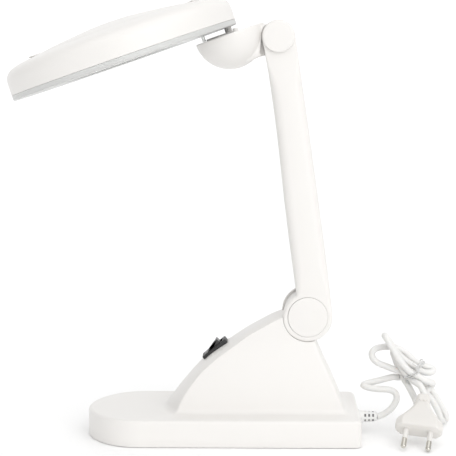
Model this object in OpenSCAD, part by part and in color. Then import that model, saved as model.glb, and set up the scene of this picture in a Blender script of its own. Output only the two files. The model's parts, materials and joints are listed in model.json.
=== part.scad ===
// Desk magnifying lamp: weighted base with a swept stand, one friction arm,
// a cup-shaped bracket and a round lens head with a hinged cover. Millimetres.

/* [Base] */
// Length of the base plate, front to back
base_l = 206; // [196:1:216]
// Width of the base plate
base_w = 102; // [98:1:108]
// Height of the base plate above its feet
base_t = 19; // [18:0.5:22]
// Thickness of the rubber feet
foot_t = 1.5; // [1:0.1:2.5]
// Wall thickness of the base moulding
wall = 2.4; // [2:0.1:2.8]

/* [Stand] */
// Width of the stand where it meets the base plate
stand_w = 57; // [54:1:62]
// Width of the stand at the hinge
stand_top_w = 42; // [41:0.5:46]
// Radius of the lower hinge cheeks
cheek_r = 18.5; // [18:0.1:19]

/* [Arm] */
// Distance between the two arm hinges
arm_l = 210; // [200:1:220]
// Forward lean of the arm from upright
arm_lean = 6.2; // [0:0.1:12]
// Wall thickness of the arm shells
arm_wall = 2.2; // [1.8:0.1:2.6]

/* [Head] */
// Diameter of the lens head
head_d = 176; // [172:1:180]
// Tilt of the head, front edge down
head_tilt = 19; // [12:0.5:26]
// Gap between the bracket and the underside of the head
head_gap = 4.9; // [4.5:0.1:6]
// Number of light emitting diodes in the ring
led_count = 48; // [24:4:60]

/* [Lens] */
// Diameter of the lens
lens_d = 100.2; // [98:0.1:100.2]
// Height of each lens surface above its rim
lens_sag = 3.6; // [2.4:0.1:5]

/* [Cord] */
// Diameter of the mains cord
cord_d = 5; // [4.4:0.1:6]

/* [Hidden] */

// Base plate, from the rear edge forwards
x1 = 124.8;
x0 = x1 - base_l;
hw = base_w / 2;
z0 = foot_t;
zt = foot_t + base_t;
// Lower hinge, upper hinge and bracket centre
p1x = 85.4;
p1z = zt + 72;
p2x = p1x - arm_l * sin(arm_lean);
p2z = p1z + arm_l * cos(arm_lean);
hx = 33.6;
hz = -13.7;
ct = cos(head_tilt);
st = sin(head_tilt);
cbx = p2x - hx * ct + hz * st;
cbz = p2z - hx * st - hz * ct;
// Swivel axis behind the centre of the head
sw = 80.6;
hr = head_d / 2;
lr = lens_d / 2;
// Colours
white = [0.92, 0.92, 0.90];
offw = [0.86, 0.86, 0.84];
black = [0.06, 0.06, 0.06];
steel = [0.62, 0.63, 0.65];
zinc = [0.74, 0.74, 0.72];
rub = [0.12, 0.12, 0.12];
green = [0.10, 0.36, 0.20];

// A cylinder along Y from y = a to y = b
module ycyl(r, a, b, fn = 64) {
  translate([0, a, 0]) rotate([-90, 0, 0]) cylinder(r = r, h = b - a, $fn = fn);
}
// An X-Z outline drawn out along Y from y = a to y = b
module yext(a, b) {
  translate([0, b, 0]) rotate([90, 0, 0]) linear_extrude(height = b - a) children();
}
module at_p1() { translate([p1x, 0, p1z]) children(); }
module at_arm() { translate([p1x, 0, p1z]) rotate([0, -arm_lean, 0]) children(); }
module at_p2() { translate([p2x, 0, p2z]) children(); }
module at_cup() { translate([cbx, 0, cbz]) rotate([0, -head_tilt, 0]) children(); }
module at_head() { at_cup() translate([-sw, 0, head_gap]) children(); }
module at_switch() { translate([16.3, 0, 64.0 + zt - 20.5]) rotate([0, -39.5, 0]) children(); }

// ---------------------------------------------------------------- base
// Points on an arc about c, from angle a to angle b
function arc(c, r, a, b, n) = [for (k = [0:n]) let (t = a + (b - a) * k / n) [c[0] + r * cos(t), c[1] + r * sin(t)]];
// Plan of the base plate, round at the front and square at the rear, i inside its edge
module plan(i) {
  cf = x0 + 58;
  k = hw - 35;
  cc = cf - sqrt(23 * 23 - k * k);
  t = atan2(k, cf - cc);
  polygon(concat(arc([cf, 0], 58 - i, 180 - t, 180 + t, 18), arc([cc, -k], 35 - i, 180 + t + 4, 270, 10),
    arc([x1 - 6, 6 - hw], 6 - i, 270, 360, 6), arc([x1 - 6, hw - 6], 6 - i, 0, 90, 6),
    arc([cc, k], 35 - i, 90, 180 - t - 4, 10)));
}
// Stand sections: height above the plate, side edge, nose and rear edge
stand = [[-2.5, -14.3, -23.4, 115.6], [0, -13.2, -22.2, 114.5], [4.5, -11.6, -19.9, 112.5],
  [9.5, -9.4, -16.2, 110.5], [16.5, -5.3, -10.9, 107.6], [24.5, 0.6, -4.3, 104.2],
  [30.5, 5.5, 1.1, 101.4], [35.5, 10.8, 5.6, 99.0], [40.5, 16.2, 10.2, 96.8],
  [46.5, 24.0, 17.8, 94.3], [52, 30.6, 25.8, 92.1], [56.5, 36.0, 32.4, 90.4],
  [63.5, 47.2, 43.7, 88.0], [69.5, 58.6, 55.4, 86.0], [72.8, 66.4, 64.2, 84.2]];
inner = [[-4, -10, -19, 112.8], [4.5, -8.4, -17, 109.9], [9.5, -5.8, -12.8, 107.6],
  [16.5, -1.4, -7.4, 105], [24.5, 4.8, -0.4, 101.4], [30.5, 10, 5.4, 98.4],
  [35.5, 15.6, 10.2, 96.2], [40.5, 21.6, 15.6, 94], [46.5, 30.4, 24.2, 91.6],
  [52, 38, 33, 89], [56.5, 44.4, 40.4, 87.4], [61, 52, 49, 86]];
function halfw(z, w) = w + (stand_top_w - stand_w) / 2 * max(0, z) / 73 ;
function section(s, w) = let (h = halfw(s[0], w))
  concat([for (j = [-4:4]) [s[1] + (s[2] - s[1]) * (1 - j * j / 16), h * j / 4, zt + s[0]]],
    [[s[3], h, zt + s[0]], [s[3], -h, zt + s[0]]]);
module loft(rows, w) {
  n = len(rows);
  pts = [for (s = rows) for (p = section(s, w)) p];
  faces = concat([for (j = [0:8]) [10, j + 1, j]], [for (j = [0:8]) [(n - 1) * 11 + 10, (n - 1) * 11 + j, (n - 1) * 11 + j + 1]],
    [for (i = [0:n - 2]) for (j = [0:10]) [i * 11 + j, i * 11 + (j + 1) % 11, (i + 1) * 11 + j]],
    [for (i = [0:n - 2]) for (j = [0:10]) [(i + 1) * 11 + j, i * 11 + (j + 1) % 11, (i + 1) * 11 + (j + 1) % 11]]);
  polyhedron(points = pts, faces = faces, convexity = 6);
}
screw_xy = [[-60, 26], [-60, -26], [28, 41], [28, -41], [114, 27], [114, -27]];
module base_housing() color(white) difference() {
  union() {
    difference() {
      union() {
        difference() {
          translate([0, 0, z0]) linear_extrude(height = base_t) plan(0);
          translate([0, 0, -1]) linear_extrude(height = zt - wall + 1) plan(wall);
        }
        loft(stand, stand_w / 2);
      }
      // hollow of the stand, open to the base plate and kept clear of the hinge
      difference() {
        loft(inner, stand_w / 2 - wall);
        at_p1() ycyl(cheek_r + 3, -40, 40, 96);
      }
    }
    for (p = screw_xy) translate([p[0], p[1], z0 + 3]) cylinder(r = 3.6, h = base_t - 4, $fn = 32);
    for (s = [-1, 1]) translate([-48, s * 12, z0 + 14.05]) cylinder(r = 3.6, h = 4, $fn = 32);
    for (s = [-1, 1]) translate([116, s * 9, 9.65]) cylinder(r = 2.6, h = zt - 11, $fn = 32);
    at_p1() ycyl(17, -11, 11, 96);
  }
  // recesses for the arm cheeks
  for (s = [-1, 1]) at_p1() translate([0, s * 26, 0]) ycyl(cheek_r + 0.7, -15, 15, 96);
  at_p1() ycyl(4.05, -30, 30);
  for (p = screw_xy) translate([p[0], p[1], -1]) cylinder(r = 1.5, h = 14 + z0, $fn = 24);
  for (s = [-1, 1]) translate([-48, s * 12, -1]) cylinder(r = 1.5, h = zt - 1, $fn = 24);
  for (s = [-1, 1]) translate([116, s * 9, -1]) cylinder(r = 1.1, h = 17, $fn = 24);
  at_switch() translate([-9.7, -6.4, -20]) cube([19.4, 12.8, 30]);
  at_switch() translate([-11.4, -7.9, 1.2]) cube([22.8, 15.8, 5]);
  translate([x1 - 8, 0, 12.2]) rotate([0, 90, 0]) cylinder(r = 4.6, h = 12, $fn = 48);
}
module bottom_cover() color(offw) difference() {
  union() {
    translate([0, 0, z0 + 0.2]) linear_extrude(height = 2.2) plan(wall + 0.2);
    for (p = board_xy) translate([p[0], p[1], z0 + 2]) cylinder(r = 3, h = 3, $fn = 32);
  }
  for (p = board_xy) translate([p[0], p[1], z0 + 2.8]) cylinder(r = 1.2, h = 8, $fn = 24);
  for (p = screw_xy) {
    translate([p[0], p[1], -1]) cylinder(r = 1.7, h = 8, $fn = 24);
    translate([p[0], p[1], -1]) cylinder(r = 3.1, h = z0 + 2.4, $fn = 32);
  }
}
module ballast_plate() color([0.35, 0.35, 0.37]) difference() {
  translate([0, 0, z0 + 3.2]) linear_extrude(height = 10.8) union() {
    translate([-26, 0]) circle(r = 38, $fn = 96);
    translate([-26, -38]) square([44, 76]);
  }
  for (s = [-1, 1]) translate([-48, s * 12, 0]) cylinder(r = 1.8, h = 30, $fn = 24);
}
module ballast_screws() color(steel) for (s = [-1, 1]) translate([-48, s * 12, 0]) union() {
  translate([0, 0, z0 + 3.2 - 0.6]) cylinder(r = 3, h = 0.6, $fn = 32);
  translate([0, 0, z0 + 2.6]) cylinder(r = 1.5, h = 13.2, $fn = 24);
}
module rubber_feet() color(rub) for (x = [-27, 107]) for (s = [-1, 1])
  translate([x, s * 42, 0]) linear_extrude(height = z0 + 0.2) union() {
    square([18, 9], center = true);
    for (t = [-1, 1]) translate([t * 9, 0]) circle(r = 4.5, $fn = 32);
  }
module cover_screws() color(steel) for (p = screw_xy) translate([p[0], p[1], 0]) union() {
  translate([0, 0, z0 + 0.5]) cylinder(r = 2.9, h = 0.9, $fn = 32);
  translate([0, 0, z0 + 1.3]) cylinder(r = 1.5, h = 9, $fn = 24);
}
board_xy = [[36, -20], [36, 20], [92, -20], [92, 20]];
module driver_board() color(green) difference() {
  translate([32, -24, z0 + 5]) cube([64, 48, 1.6]);
  for (p = board_xy) translate([p[0], p[1], 0]) cylinder(r = 1.5, h = 14, $fn = 24);
}
module driver_board_screws() color(steel) for (p = board_xy) translate([p[0], p[1], 0]) union() {
  translate([0, 0, z0 + 6.6]) cylinder(r = 2.4, h = 1.2, $fn = 32);
  translate([0, 0, z0 + 3]) cylinder(r = 1.2, h = 3.7, $fn = 24);
}
module driver_parts() {
  color([0.85, 0.75, 0.15]) translate([40, -14, z0 + 6.6]) cube([18, 16, 15]);
  color([0.12, 0.14, 0.35]) translate([70, -10, z0 + 6.6]) cylinder(r = 6, h = 18, $fn = 48);
  color([0.75, 0.3, 0.1]) translate([64, 6, z0 + 6.6]) cube([13, 6, 11]);
  color([0.2, 0.45, 0.25]) translate([81, -8, z0 + 6.6]) cube([8, 16, 9]);
}
module cord_clamp() color(offw) difference() {
  translate([112.8, -12, 7.2]) cube([6.4, 24, 2.4]);
  for (s = [-1, 1]) translate([116, s * 9, 0]) cylinder(r = 1.3, h = 30, $fn = 24);
}
module clamp_screws() color(steel) for (s = [-1, 1]) translate([116, s * 9, 0]) union() {
  translate([0, 0, 6.3]) cylinder(r = 2.2, h = 0.9, $fn = 32);
  translate([0, 0, 7]) cylinder(r = 1.1, h = 7.5, $fn = 24);
}
module strain_relief() color(offw) translate([0, 0, 12.2]) rotate([0, 90, 0]) difference() {
  union() {
    translate([0, 0, x1 - wall]) cylinder(r = 4.55, h = wall, $fn = 48);
    translate([0, 0, x1 - wall - 3]) cylinder(r = 5.7, h = 3, $fn = 48);
    translate([0, 0, x1]) cylinder(r1 = 4.4, r2 = 3.6, h = 14.6, $fn = 48);
  }
  for (k = [0:2]) for (s = [-1, 1]) translate([s * 3.7 - 1.2, -6, x1 + 5.2 + k * 2.9]) cube([2.4, 12, 1.1]);
}

// ---------------------------------------------------------------- switch
module switch_body() color(black) at_switch() difference() {
  union() {
    translate([-11.1, -7.6, 1.2]) cube([22.2, 15.2, 1.9]);
    translate([-9.5, -6.3, -13]) cube([19, 12.6, 14.3]);
  }
  translate([-8.6, -5.4, -7]) cube([17.2, 10.8, 20]);
}
module switch_rocker() color([0.09, 0.09, 0.09]) at_switch() translate([0, 0, -1.2]) rotate([0, -14, 0])
  yext(-5.3, 5.3) polygon([[-7.2, 6], [0, 4.4], [7.2, 6], [7.2, 1.5], [3, -3.8], [-3, -3.8], [-7.2, 1.5]]);

// ---------------------------------------------------------------- arm
// Outline of the arm about its lower hinge, i inside its edge
module arm_outline(i) polygon(concat(arc([0, 0], cheek_r - i, 0, -249, 60),
  [[-8.1 + i, 75], [-8.8 + i, arm_l - 60], [-11.2 + i, arm_l - 10]],
  arc([0, arm_l], 12.3 - i, 180, 0, 36), [[14.9 - i, arm_l - 60], [16.5 - i, 100], [18.3 - i, 40]]));
module arm_depth(i) translate([-40, 0, 0]) rotate([90, 0, 90]) linear_extrude(height = 80)
  polygon([[-20 + i, -30], [20 - i, -30], [20 - i, 20], [15 - i, arm_l - 20], [15 - i, arm_l + 20],
    [-15 + i, arm_l + 20], [-15 + i, arm_l - 20], [-20 + i, 20]]);
post = [[6, 44], [5, 88], [4, 132], [2.5, 172]];
module arm_blank() difference() {
  intersection() {
    yext(-21, 21) arm_outline(0);
    arm_depth(0);
  }
  difference() {
    intersection() {
      yext(-21, 21) arm_outline(arm_wall);
      arm_depth(arm_wall);
      translate([-40, -30, 21]) cube([80, 60, arm_l - 21 - 24]);
    }
    for (p = post) translate([p[0], 0, p[1]]) ycyl(3.6, -21, 21, 32);
  }
  // space between the cheeks, below and above
  ycyl(18.8, -12.15, 12.15, 96);
  translate([-30, -12.15, -30]) cube([60, 24.3, 30]);
  translate([0, 0, arm_l]) ycyl(12.9, -8.05, 8.05, 96);
  translate([-30, -8.05, arm_l - 22.5]) cube([32, 16.1, 40]);
  translate([-30, -8.05, arm_l]) cube([60, 16.1, 40]);
  // hinge bores, and pockets under the caps
  ycyl(4.02, -30, 30);
  translate([0, 0, arm_l]) ycyl(3.02, -30, 30);
  for (s = [-1, 1]) {
    translate([0, s * 20.2, 0]) ycyl(15.2, -5, 5, 96);
    translate([0, s * 17, arm_l]) ycyl(9.2, -5, 5, 96);
  }
}
module arm_shell_near() color(white) at_arm() difference() {
  arm_blank();
  translate([-50, 0, -50]) cube([100, 60, arm_l + 100]);
  for (p = post) translate([p[0], 0, p[1]]) ycyl(1.3, -9, 30, 24);
}
module arm_shell_far() color(white) at_arm() difference() {
  arm_blank();
  translate([-50, -60, -50]) cube([100, 60, arm_l + 100]);
  for (p = post) translate([p[0], 0, p[1]]) {
    ycyl(1.5, -9, 30, 24);
    ycyl(3, 11, 30, 32);
  }
}
module arm_screws() color(steel) at_arm() for (p = post) translate([p[0], 0, p[1]]) {
  ycyl(1.3, -8.8, 11.2, 24);
  ycyl(2.8, 11, 12.8, 32);
}
module arm_lead() color([0.8, 0.8, 0.78]) at_arm() {
  translate([-2.9, -6, 30]) cylinder(r = 1.6, h = arm_l - 58, $fn = 24);
}

// ---------------------------------------------------------------- lower hinge
module lower_pivot_bolt() color(zinc) at_p1() union() {
  ycyl(4, -15.3, 19.0);
  ycyl(7.5, -18.6, -15.25, 6);
}
module lower_spring_washer() color(steel) at_p1() difference() {
  ycyl(7.6, 15.22, 16.2);
  ycyl(4.02, 14, 18);
}
module lower_pivot_nut() color(zinc) at_p1() difference() {
  ycyl(7.5, 16.22, 18.7, 6);
  ycyl(4.02, 14, 20);
}
module lower_friction_washers() color([0.25, 0.25, 0.25]) at_p1() for (s = [-1, 1]) difference() {
  translate([0, s * 11.575, 0]) ycyl(14, -0.54, 0.54);
  ycyl(4.02, -20, 20);
}
module lower_cap(s) at_p1() rotate([0, 0, s > 0 ? 180 : 0]) difference() {
  ycyl(15.1, -20.4, -15.3, 96);
  ycyl(13.2, -19.1, -10, 96);
}
module lower_cap_near() color(white) lower_cap(-1);
module lower_cap_far() color(white) lower_cap(1);

// ---------------------------------------------------------------- upper hinge
module upper_pivot_bolt() color(zinc) at_p2() union() {
  ycyl(3, -12.1, 15.6);
  ycyl(5.8, -15.2, -12.05, 6);
}
module upper_spring_washer() color(steel) at_p2() difference() {
  ycyl(6, 12.05, 12.8);
  ycyl(3.02, 10, 18);
}
module upper_pivot_nut() color(zinc) at_p2() difference() {
  ycyl(5.8, 12.82, 15.2, 6);
  ycyl(3.02, 10, 20);
}
module upper_friction_washers() color([0.25, 0.25, 0.25]) at_p2() for (s = [-1, 1]) difference() {
  translate([0, s * 7.55, 0]) ycyl(9.5, -0.46, 0.46);
  ycyl(3.02, -20, 20);
}
module upper_cap(s) at_p2() rotate([0, 0, s > 0 ? 180 : 0]) difference() {
  union() {
    ycyl(11.7, -18.2, -15.02, 96);
    ycyl(9.1, -15.1, -12.4, 96);
  }
  ycyl(7.4, -16.6, -10, 96);
}
module upper_cap_near() color(white) upper_cap(-1);
module upper_cap_far() color(white) upper_cap(1);

// ---------------------------------------------------------------- cup bracket
module head_bracket() color(white) at_cup() difference() {
  union() {
    difference() {
      sphere(r = 26.5, $fn = 96);
      translate([-40, -40, 0]) cube([80, 80, 60]);
    }
    yext(-13, 13) polygon([[8, -1.6], [27, -2.1], [30, -8], [24, -22], [15.5, -23.6], [7, -23.8]]);
    yext(-7, 7) polygon([[8, -1.8], [27, -2.1], [hx, -2.2], [hx + 8, hz], [hx, hz - 11.4], [15.5, -23.6], [7, -23.8]]);
    translate([hx, 0, hz]) ycyl(11.5, -7, 7, 96);
  }
  // hollow of the cup, kept clear of the hinge
  difference() {
    sphere(r = 24, $fn = 96);
    translate([hx, 0, hz]) ycyl(18.6, -40, 40, 96);
    translate([-40, -40, -2.4]) cube([80, 80, 60]);
    for (s = [-1, 1]) translate([-2, s * 15, -30]) cylinder(r = 3, h = 40, $fn = 32);
  }
  translate([0, 0, -2.5]) cylinder(r = 22.2, h = 10, $fn = 96);
  for (s = [-1, 1]) translate([hx, s * 27, hz]) {
    ycyl(15.9, -20, 20, 96);
    // room for the arm's front edge at the head's lowest position
    rotate([0, 24.8, 0]) translate([-11.7, s > 0 ? -19.4 : -20.6, -60]) cube([30, 40, 50]);
  }
  translate([hx, 0, hz]) ycyl(3.06, -30, 30);
  for (s = [-1, 1]) translate([-2, s * 15, -12]) cylinder(r = 1.3, h = 20, $fn = 24);
}
module bracket_cover() color(offw) at_cup() difference() {
  union() {
    translate([0, 0, -2.5]) cylinder(r = 22.1, h = 2.5, $fn = 96);
    // raised rest under the head, in front of the pin
    translate([-17.6, -6, -0.5]) cube([13.4, 12, head_gap - 0.3]);
    for (s = [-1, 1]) translate([5.1, s * 18.9, -0.5]) cylinder(r = 1.8, h = 3, $fn = 32);
  }
  translate([0, 0, -5]) cylinder(r = 2.72, h = 20, $fn = 32);
  for (s = [-1, 1]) translate([-2, s * 15, -5]) {
    cylinder(r = 1.5, h = 20, $fn = 24);
    translate([0, 0, 4]) cylinder(r = 2.6, h = 20, $fn = 32);
  }
}
module bracket_screws() color(steel) at_cup() for (s = [-1, 1]) translate([-2, s * 15, 0]) union() {
  translate([0, 0, -11.5]) cylinder(r = 1.3, h = 11, $fn = 24);
  translate([0, 0, -1]) cylinder(r = 2.5, h = 0.95, $fn = 32);
}
module swivel_pin() color(zinc) at_cup() union() {
  translate([0, 0, -6]) cylinder(r = 5, h = 3.48, $fn = 6);
  translate([0, 0, -3]) cylinder(r = 2.7, h = 3 + head_gap - 0.03, $fn = 48);
  translate([0, 0, 0]) cylinder(r = 2, h = head_gap + 16.6, $fn = 48);
}
module swivel_washer() color(steel) at_head() translate([sw, 0, 12.03]) difference() {
  cylinder(r = 4.1, h = 0.8, $fn = 48);
  translate([0, 0, -1]) cylinder(r = 2.02, h = 4, $fn = 48);
}
module swivel_nut() color(zinc) at_head() translate([sw, 0, 12.85]) difference() {
  cylinder(r = 3.9, h = 3, $fn = 6);
  translate([0, 0, -1]) cylinder(r = 2.02, h = 6, $fn = 48);
}

// ---------------------------------------------------------------- head
cover_screw_a = [70, 135, 180, -135, -70];
module head_housing() color(white) at_head() difference() {
  union() {
    rotate_extrude($fn = 128) polygon([[hr - 2.4, 4.05], [hr, 4.05], [hr, 13], [hr - 0.8, 17], [hr - 2.8, 20.2],
      [hr - 6.5, 22.8], [hr - 14, 24.5], [hr - 22, 25.7], [61.2, 26.3], [61.2, 24.2], [lr + 0.05, 24.2],
      [lr + 0.05, 15.2], [lr - 2.6, 15.2], [lr - 2.6, 13.2], [lr + 0.05, 13.2], [lr + 0.05, 4.05],
      [lr + 2.6, 4.05], [lr + 2.6, 21.8], [hr - 18, 21.8], [hr - 13, 21.4], [hr - 7.4, 20.2],
      [hr - 4.8, 18.2], [hr - 3, 15.4], [hr - 2.4, 12]]);
    // boss of the swivel, with its web
    translate([sw, 0, 0]) cylinder(r = 5.4, h = 12, $fn = 48);
    translate([sw, -5.4, 4.05]) cube([hr - sw - 1.2, 10.8, 7.95]);
    // bosses of the light cover screws, the light ring and the stop pin
    for (a = cover_screw_a) rotate([0, 0, a]) translate([82, 0, 4.05]) cylinder(r = 3.2, h = 16, $fn = 32);
    for (a = [45, 135, 225, 315]) rotate([0, 0, a]) translate([70, 0, 16.7]) cylinder(r = 2.6, h = 6, $fn = 32);
    translate([sw - 19.7, 0, 4.05]) cylinder(r = 3, h = 8, $fn = 32);
    translate([lr + 1, -1.2, 4.05]) cube([12, 2.4, 8]);
    // knuckles of the lid hinge
    translate([64.5, 0, 27.2]) for (s = [-1, 1]) translate([0, s * 9.3, 0]) ycyl(2.6, -3, 3, 32);
    for (s = [-1, 1]) translate([62.4, s * 9.3 - 3, 24]) cube([4.6, 6, 2.4]);
  }
  translate([59, -6.3, 24.2]) cube([9, 12.6, 10]);
  translate([64.5, 0, 27.2]) ycyl(1.27, -20, 20, 32);
  translate([sw, 0, -1]) cylinder(r = 2.05, h = 20, $fn = 48);
  for (a = cover_screw_a) rotate([0, 0, a]) translate([82, 0, 0]) cylinder(r = 1.2, h = 14, $fn = 24);
  for (a = [45, 135, 225, 315]) rotate([0, 0, a]) translate([70, 0, 10]) cylinder(r = 1, h = 10.5, $fn = 24);
  translate([sw - 19.7, 0, 0]) cylinder(r = 1.3, h = 10, $fn = 32);
}
module stop_pin() color(zinc) at_head() translate([sw - 19.7, 0, -head_gap + 0.4])
  cylinder(r = 1.3, h = head_gap + 9, $fn = 32);
module light_cover() color([0.80, 0.84, 0.86, 0.6]) at_head() difference() {
  cylinder(r = hr, h = 4, $fn = 128);
  translate([0, 0, -1]) cylinder(r = lr - 2.6, h = 8, $fn = 128);
  translate([sw, 0, -1]) cylinder(r = 5.6, h = 8, $fn = 48);
  translate([sw - 19.7, 0, -1]) cylinder(r = 1.5, h = 8, $fn = 32);
  for (a = cover_screw_a) rotate([0, 0, a]) translate([82, 0, -1]) {
    cylinder(r = 1.4, h = 8, $fn = 24);
    cylinder(r = 2.7, h = 3, $fn = 32);
  }
}
module light_cover_screws() color(steel) at_head() for (a = cover_screw_a) rotate([0, 0, a]) translate([82, 0, 0]) union() {
  translate([0, 0, 0.6]) cylinder(r = 2.5, h = 1.4, $fn = 32);
  translate([0, 0, 1.5]) cylinder(r = 1.2, h = 10, $fn = 24);
}
module led_board() color([0.93, 0.94, 0.92]) at_head() difference() {
  translate([0, 0, 15.1]) cylinder(r = 73, h = 1.6, $fn = 128);
  translate([0, 0, 14]) cylinder(r = 55, h = 6, $fn = 128);
  for (a = [45, 135, 225, 315]) rotate([0, 0, a]) translate([70, 0, 10]) cylinder(r = 1.1, h = 10, $fn = 24);
}
module led_board_screws() color(steel) at_head() for (a = [45, 135, 225, 315]) rotate([0, 0, a]) translate([70, 0, 0]) union() {
  translate([0, 0, 14]) cylinder(r = 2, h = 1.08, $fn = 32);
  translate([0, 0, 14.5]) cylinder(r = 1, h = 5.8, $fn = 24);
}
module leds() color([0.98, 0.93, 0.62]) at_head() for (k = [0:led_count - 1])
  rotate([0, 0, (k + 0.5) * 360 / led_count]) translate([61.2, -1.75, 13.6]) cube([3.5, 3.5, 1.5]);
module lens() color([0.75, 0.86, 0.88, 0.4]) at_head() {
  R = (lr * lr + lens_sag * lens_sag) / (2 * lens_sag);
  top = [for (k = [0:12]) let (r = lr * k / 12) [r, 18.6 + lens_sag - R + sqrt(R * R - r * r)]];
  low = [for (k = [12:-1:0]) let (r = lr * k / 12) [r, 15.6 - lens_sag + R - sqrt(R * R - r * r)]];
  rotate_extrude($fn = 128) polygon(concat(top, low));
}
module lens_ring() color(offw) at_head() rotate_extrude($fn = 128)
  polygon([[lr, 18.65], [lr, 21.6], [lr - 3.6, 21.6], [lr - 3.6, 19.25]]);
module lid_hinge_pin() color(steel) at_head() translate([64.5, 0, 27.2]) ycyl(1.25, -12, 12, 32);

module lens_cover() color([0.93, 0.93, 0.92]) at_head() difference() {
  union() {
    rotate_extrude($fn = 128) polygon([[60.8, 24.35], [60.8, 26.35], [52.5, 27.8], [39, 29.5], [26, 30.8], [13, 31.8],
      [0, 32.4], [0, 30.4], [13, 29.8], [26, 28.8], [39, 27.5], [52.5, 25.8], [57, 24.35]]);
    // finger lip over the front rim
    translate([-66.5, -9, 26.6]) cube([9.5, 18, 0.9]);
    translate([-60.2, -9, 26]) cube([3.4, 18, 1.4]);
    // hinge tongue and knuckle
    translate([58.5, -5.9, 24.9]) cube([6, 11.8, 2.2]);
    translate([64.5, 0, 27.2]) ycyl(2.5, -5.9, 5.9, 32);
  }
  translate([64.5, 0, 27.2]) ycyl(1.31, -20, 20, 32);
}

// ---------------------------------------------------------------- cord and plug
route = [[139.4, 0, 12.2], [144, 0, 12.4], [149, 2, 15.5], [154, 4, 21], [156.5, 5, 26.5],
  [154, 5, 31], [147, 4.5, 33], [138, 4.5, 33.5], [130, 5.5, 34.5], [126.5, 7, 37.2],
  [130, 8.5, 40], [138, 9.5, 41.5], [147, 10, 43], [157, 10, 45]];
function add(a, b, k) = [a[0] + b[0] * k, a[1] + b[1] * k, a[2] + b[2] * k];
function unit(v) = v / norm(v);
function cat(i, t) = let (n = len(route), a = route[max(0, i - 1)], b = route[i],
  c = route[min(n - 1, i + 1)], d = route[min(n - 1, i + 2)])
  0.5 * (2 * b + (c - a) * t + (2 * a - 5 * b + 4 * c - d) * t * t + (3 * b - a - 3 * c + d) * t * t * t);
line = concat([for (i = [0:len(route) - 2]) for (t = [0, 1/3, 2/3]) cat(i, t)], [route[len(route) - 1]]);
module cord() color([0.84, 0.84, 0.82]) {
  n = len(line);
  m = 8;
  pts = [for (i = [0:n - 1]) let (d = unit(line[min(n - 1, i + 1)] - line[max(0, i - 1)]),
    u = unit(cross(d, [0, 1, 0])), v = cross(d, u))
    for (j = [0:m - 1]) add(add(line[i], u, cord_d / 2 * cos(j * 360 / m)), v, cord_d / 2 * sin(j * 360 / m))];
  faces = concat([[for (j = [m - 1:-1:0]) j]], [[for (j = [0:m - 1]) (n - 1) * m + j]],
    [for (i = [0:n - 2]) for (j = [0:m - 1]) [i * m + j, i * m + (j + 1) % m, (i + 1) * m + j]],
    [for (i = [0:n - 2]) for (j = [0:m - 1]) [(i + 1) * m + j, i * m + (j + 1) % m, (i + 1) * m + (j + 1) % m]]);
  polyhedron(points = pts, faces = faces, convexity = 10);
}
module at_hank() translate([168.5, 12, 39.5]) rotate([0, 52, 0]) rotate([0, 0, 10]) children();
module cord_hank() color([0.84, 0.84, 0.82]) at_hank() rotate([90, 0, 0]) translate([0, 0, -8])
  linear_extrude(height = 16) union() {
    translate([-33, 0]) circle(r = 9, $fn = 48);
    translate([30, 0]) circle(r = 9, $fn = 48);
    translate([-33, -9]) square([63, 18]);
  }
module cord_tie() color([0.9, 0.9, 0.9]) at_hank() translate([-7.5, 0, 0]) difference() {
  translate([-2, -9.4, -10.4]) cube([4, 18.8, 20.8]);
  translate([-3, -8.02, -9.02]) cube([6, 16.04, 18.04]);
}
// Plug frame: +X along the pins, +Y across them
module at_plug() translate([166.6, -43.8, 11.8]) rotate([0, 0, -103]) rotate([0, 30, 0]) rotate([-6, 0, 0]) children();
module plug_body() color([0.88, 0.88, 0.86]) at_plug() union() {
  translate([0, 0, -6.8]) linear_extrude(height = 13.6)
    polygon([[0, -15.5], [0, 15.5], [-2, 17.6], [-7, 17.6], [-16, 11], [-27, 5.6], [-28, 5.6], [-28, -5.6], [-27, -5.6], [-16, -11], [-7, -17.6], [-2, -17.6]]);
  translate([-36.5, -5.1, -4.6]) cube([9, 10.2, 9.2]);
}
// Short run of cord from the coil into the plug
module cord_end() color([0.84, 0.84, 0.82]) at_plug() translate([-36.5, 0, 0]) rotate([0, -90, 0]) cylinder(r = cord_d / 2, h = 27, $fn = 24);
module plug_sleeves() color([0.9, 0.9, 0.88]) at_plug() for (s = [-1, 1]) translate([0, s * 9, 0]) rotate([0, 90, 0])
  difference() {
    cylinder(r = 2, h = 10, $fn = 32);
    translate([0, 0, -1]) cylinder(r = 1.52, h = 20, $fn = 32);
  }
module plug_pins() color(steel) at_plug() for (s = [-1, 1]) translate([0, s * 9, 0]) rotate([0, 90, 0]) union() {
  cylinder(r = 1.5, h = 12, $fn = 32);
  translate([0, 0, 10.02]) cylinder(r = 2, h = 8, $fn = 32);
  translate([0, 0, 18.02]) cylinder(r1 = 2, r2 = 1.2, h = 1, $fn = 32);
}

base_housing();
bottom_cover();
ballast_plate();
ballast_screws();
rubber_feet();
cover_screws();
driver_board();
driver_board_screws();
driver_parts();
cord_clamp();
clamp_screws();
strain_relief();
switch_body();
switch_rocker();
arm_shell_near();
arm_shell_far();
arm_screws();
arm_lead();
lower_pivot_bolt();
lower_pivot_nut();
lower_spring_washer();
lower_friction_washers();
lower_cap_near();
lower_cap_far();
upper_pivot_bolt();
upper_pivot_nut();
upper_spring_washer();
upper_friction_washers();
upper_cap_near();
upper_cap_far();
head_bracket();
bracket_cover();
bracket_screws();
swivel_pin();
swivel_washer();
swivel_nut();
head_housing();
stop_pin();
light_cover();
light_cover_screws();
led_board();
led_board_screws();
leds();
lens();
lens_ring();
lid_hinge_pin();
lens_cover();
cord();
cord_hank();
cord_tie();
cord_end();
plug_body();
plug_sleeves();
plug_pins();
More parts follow.
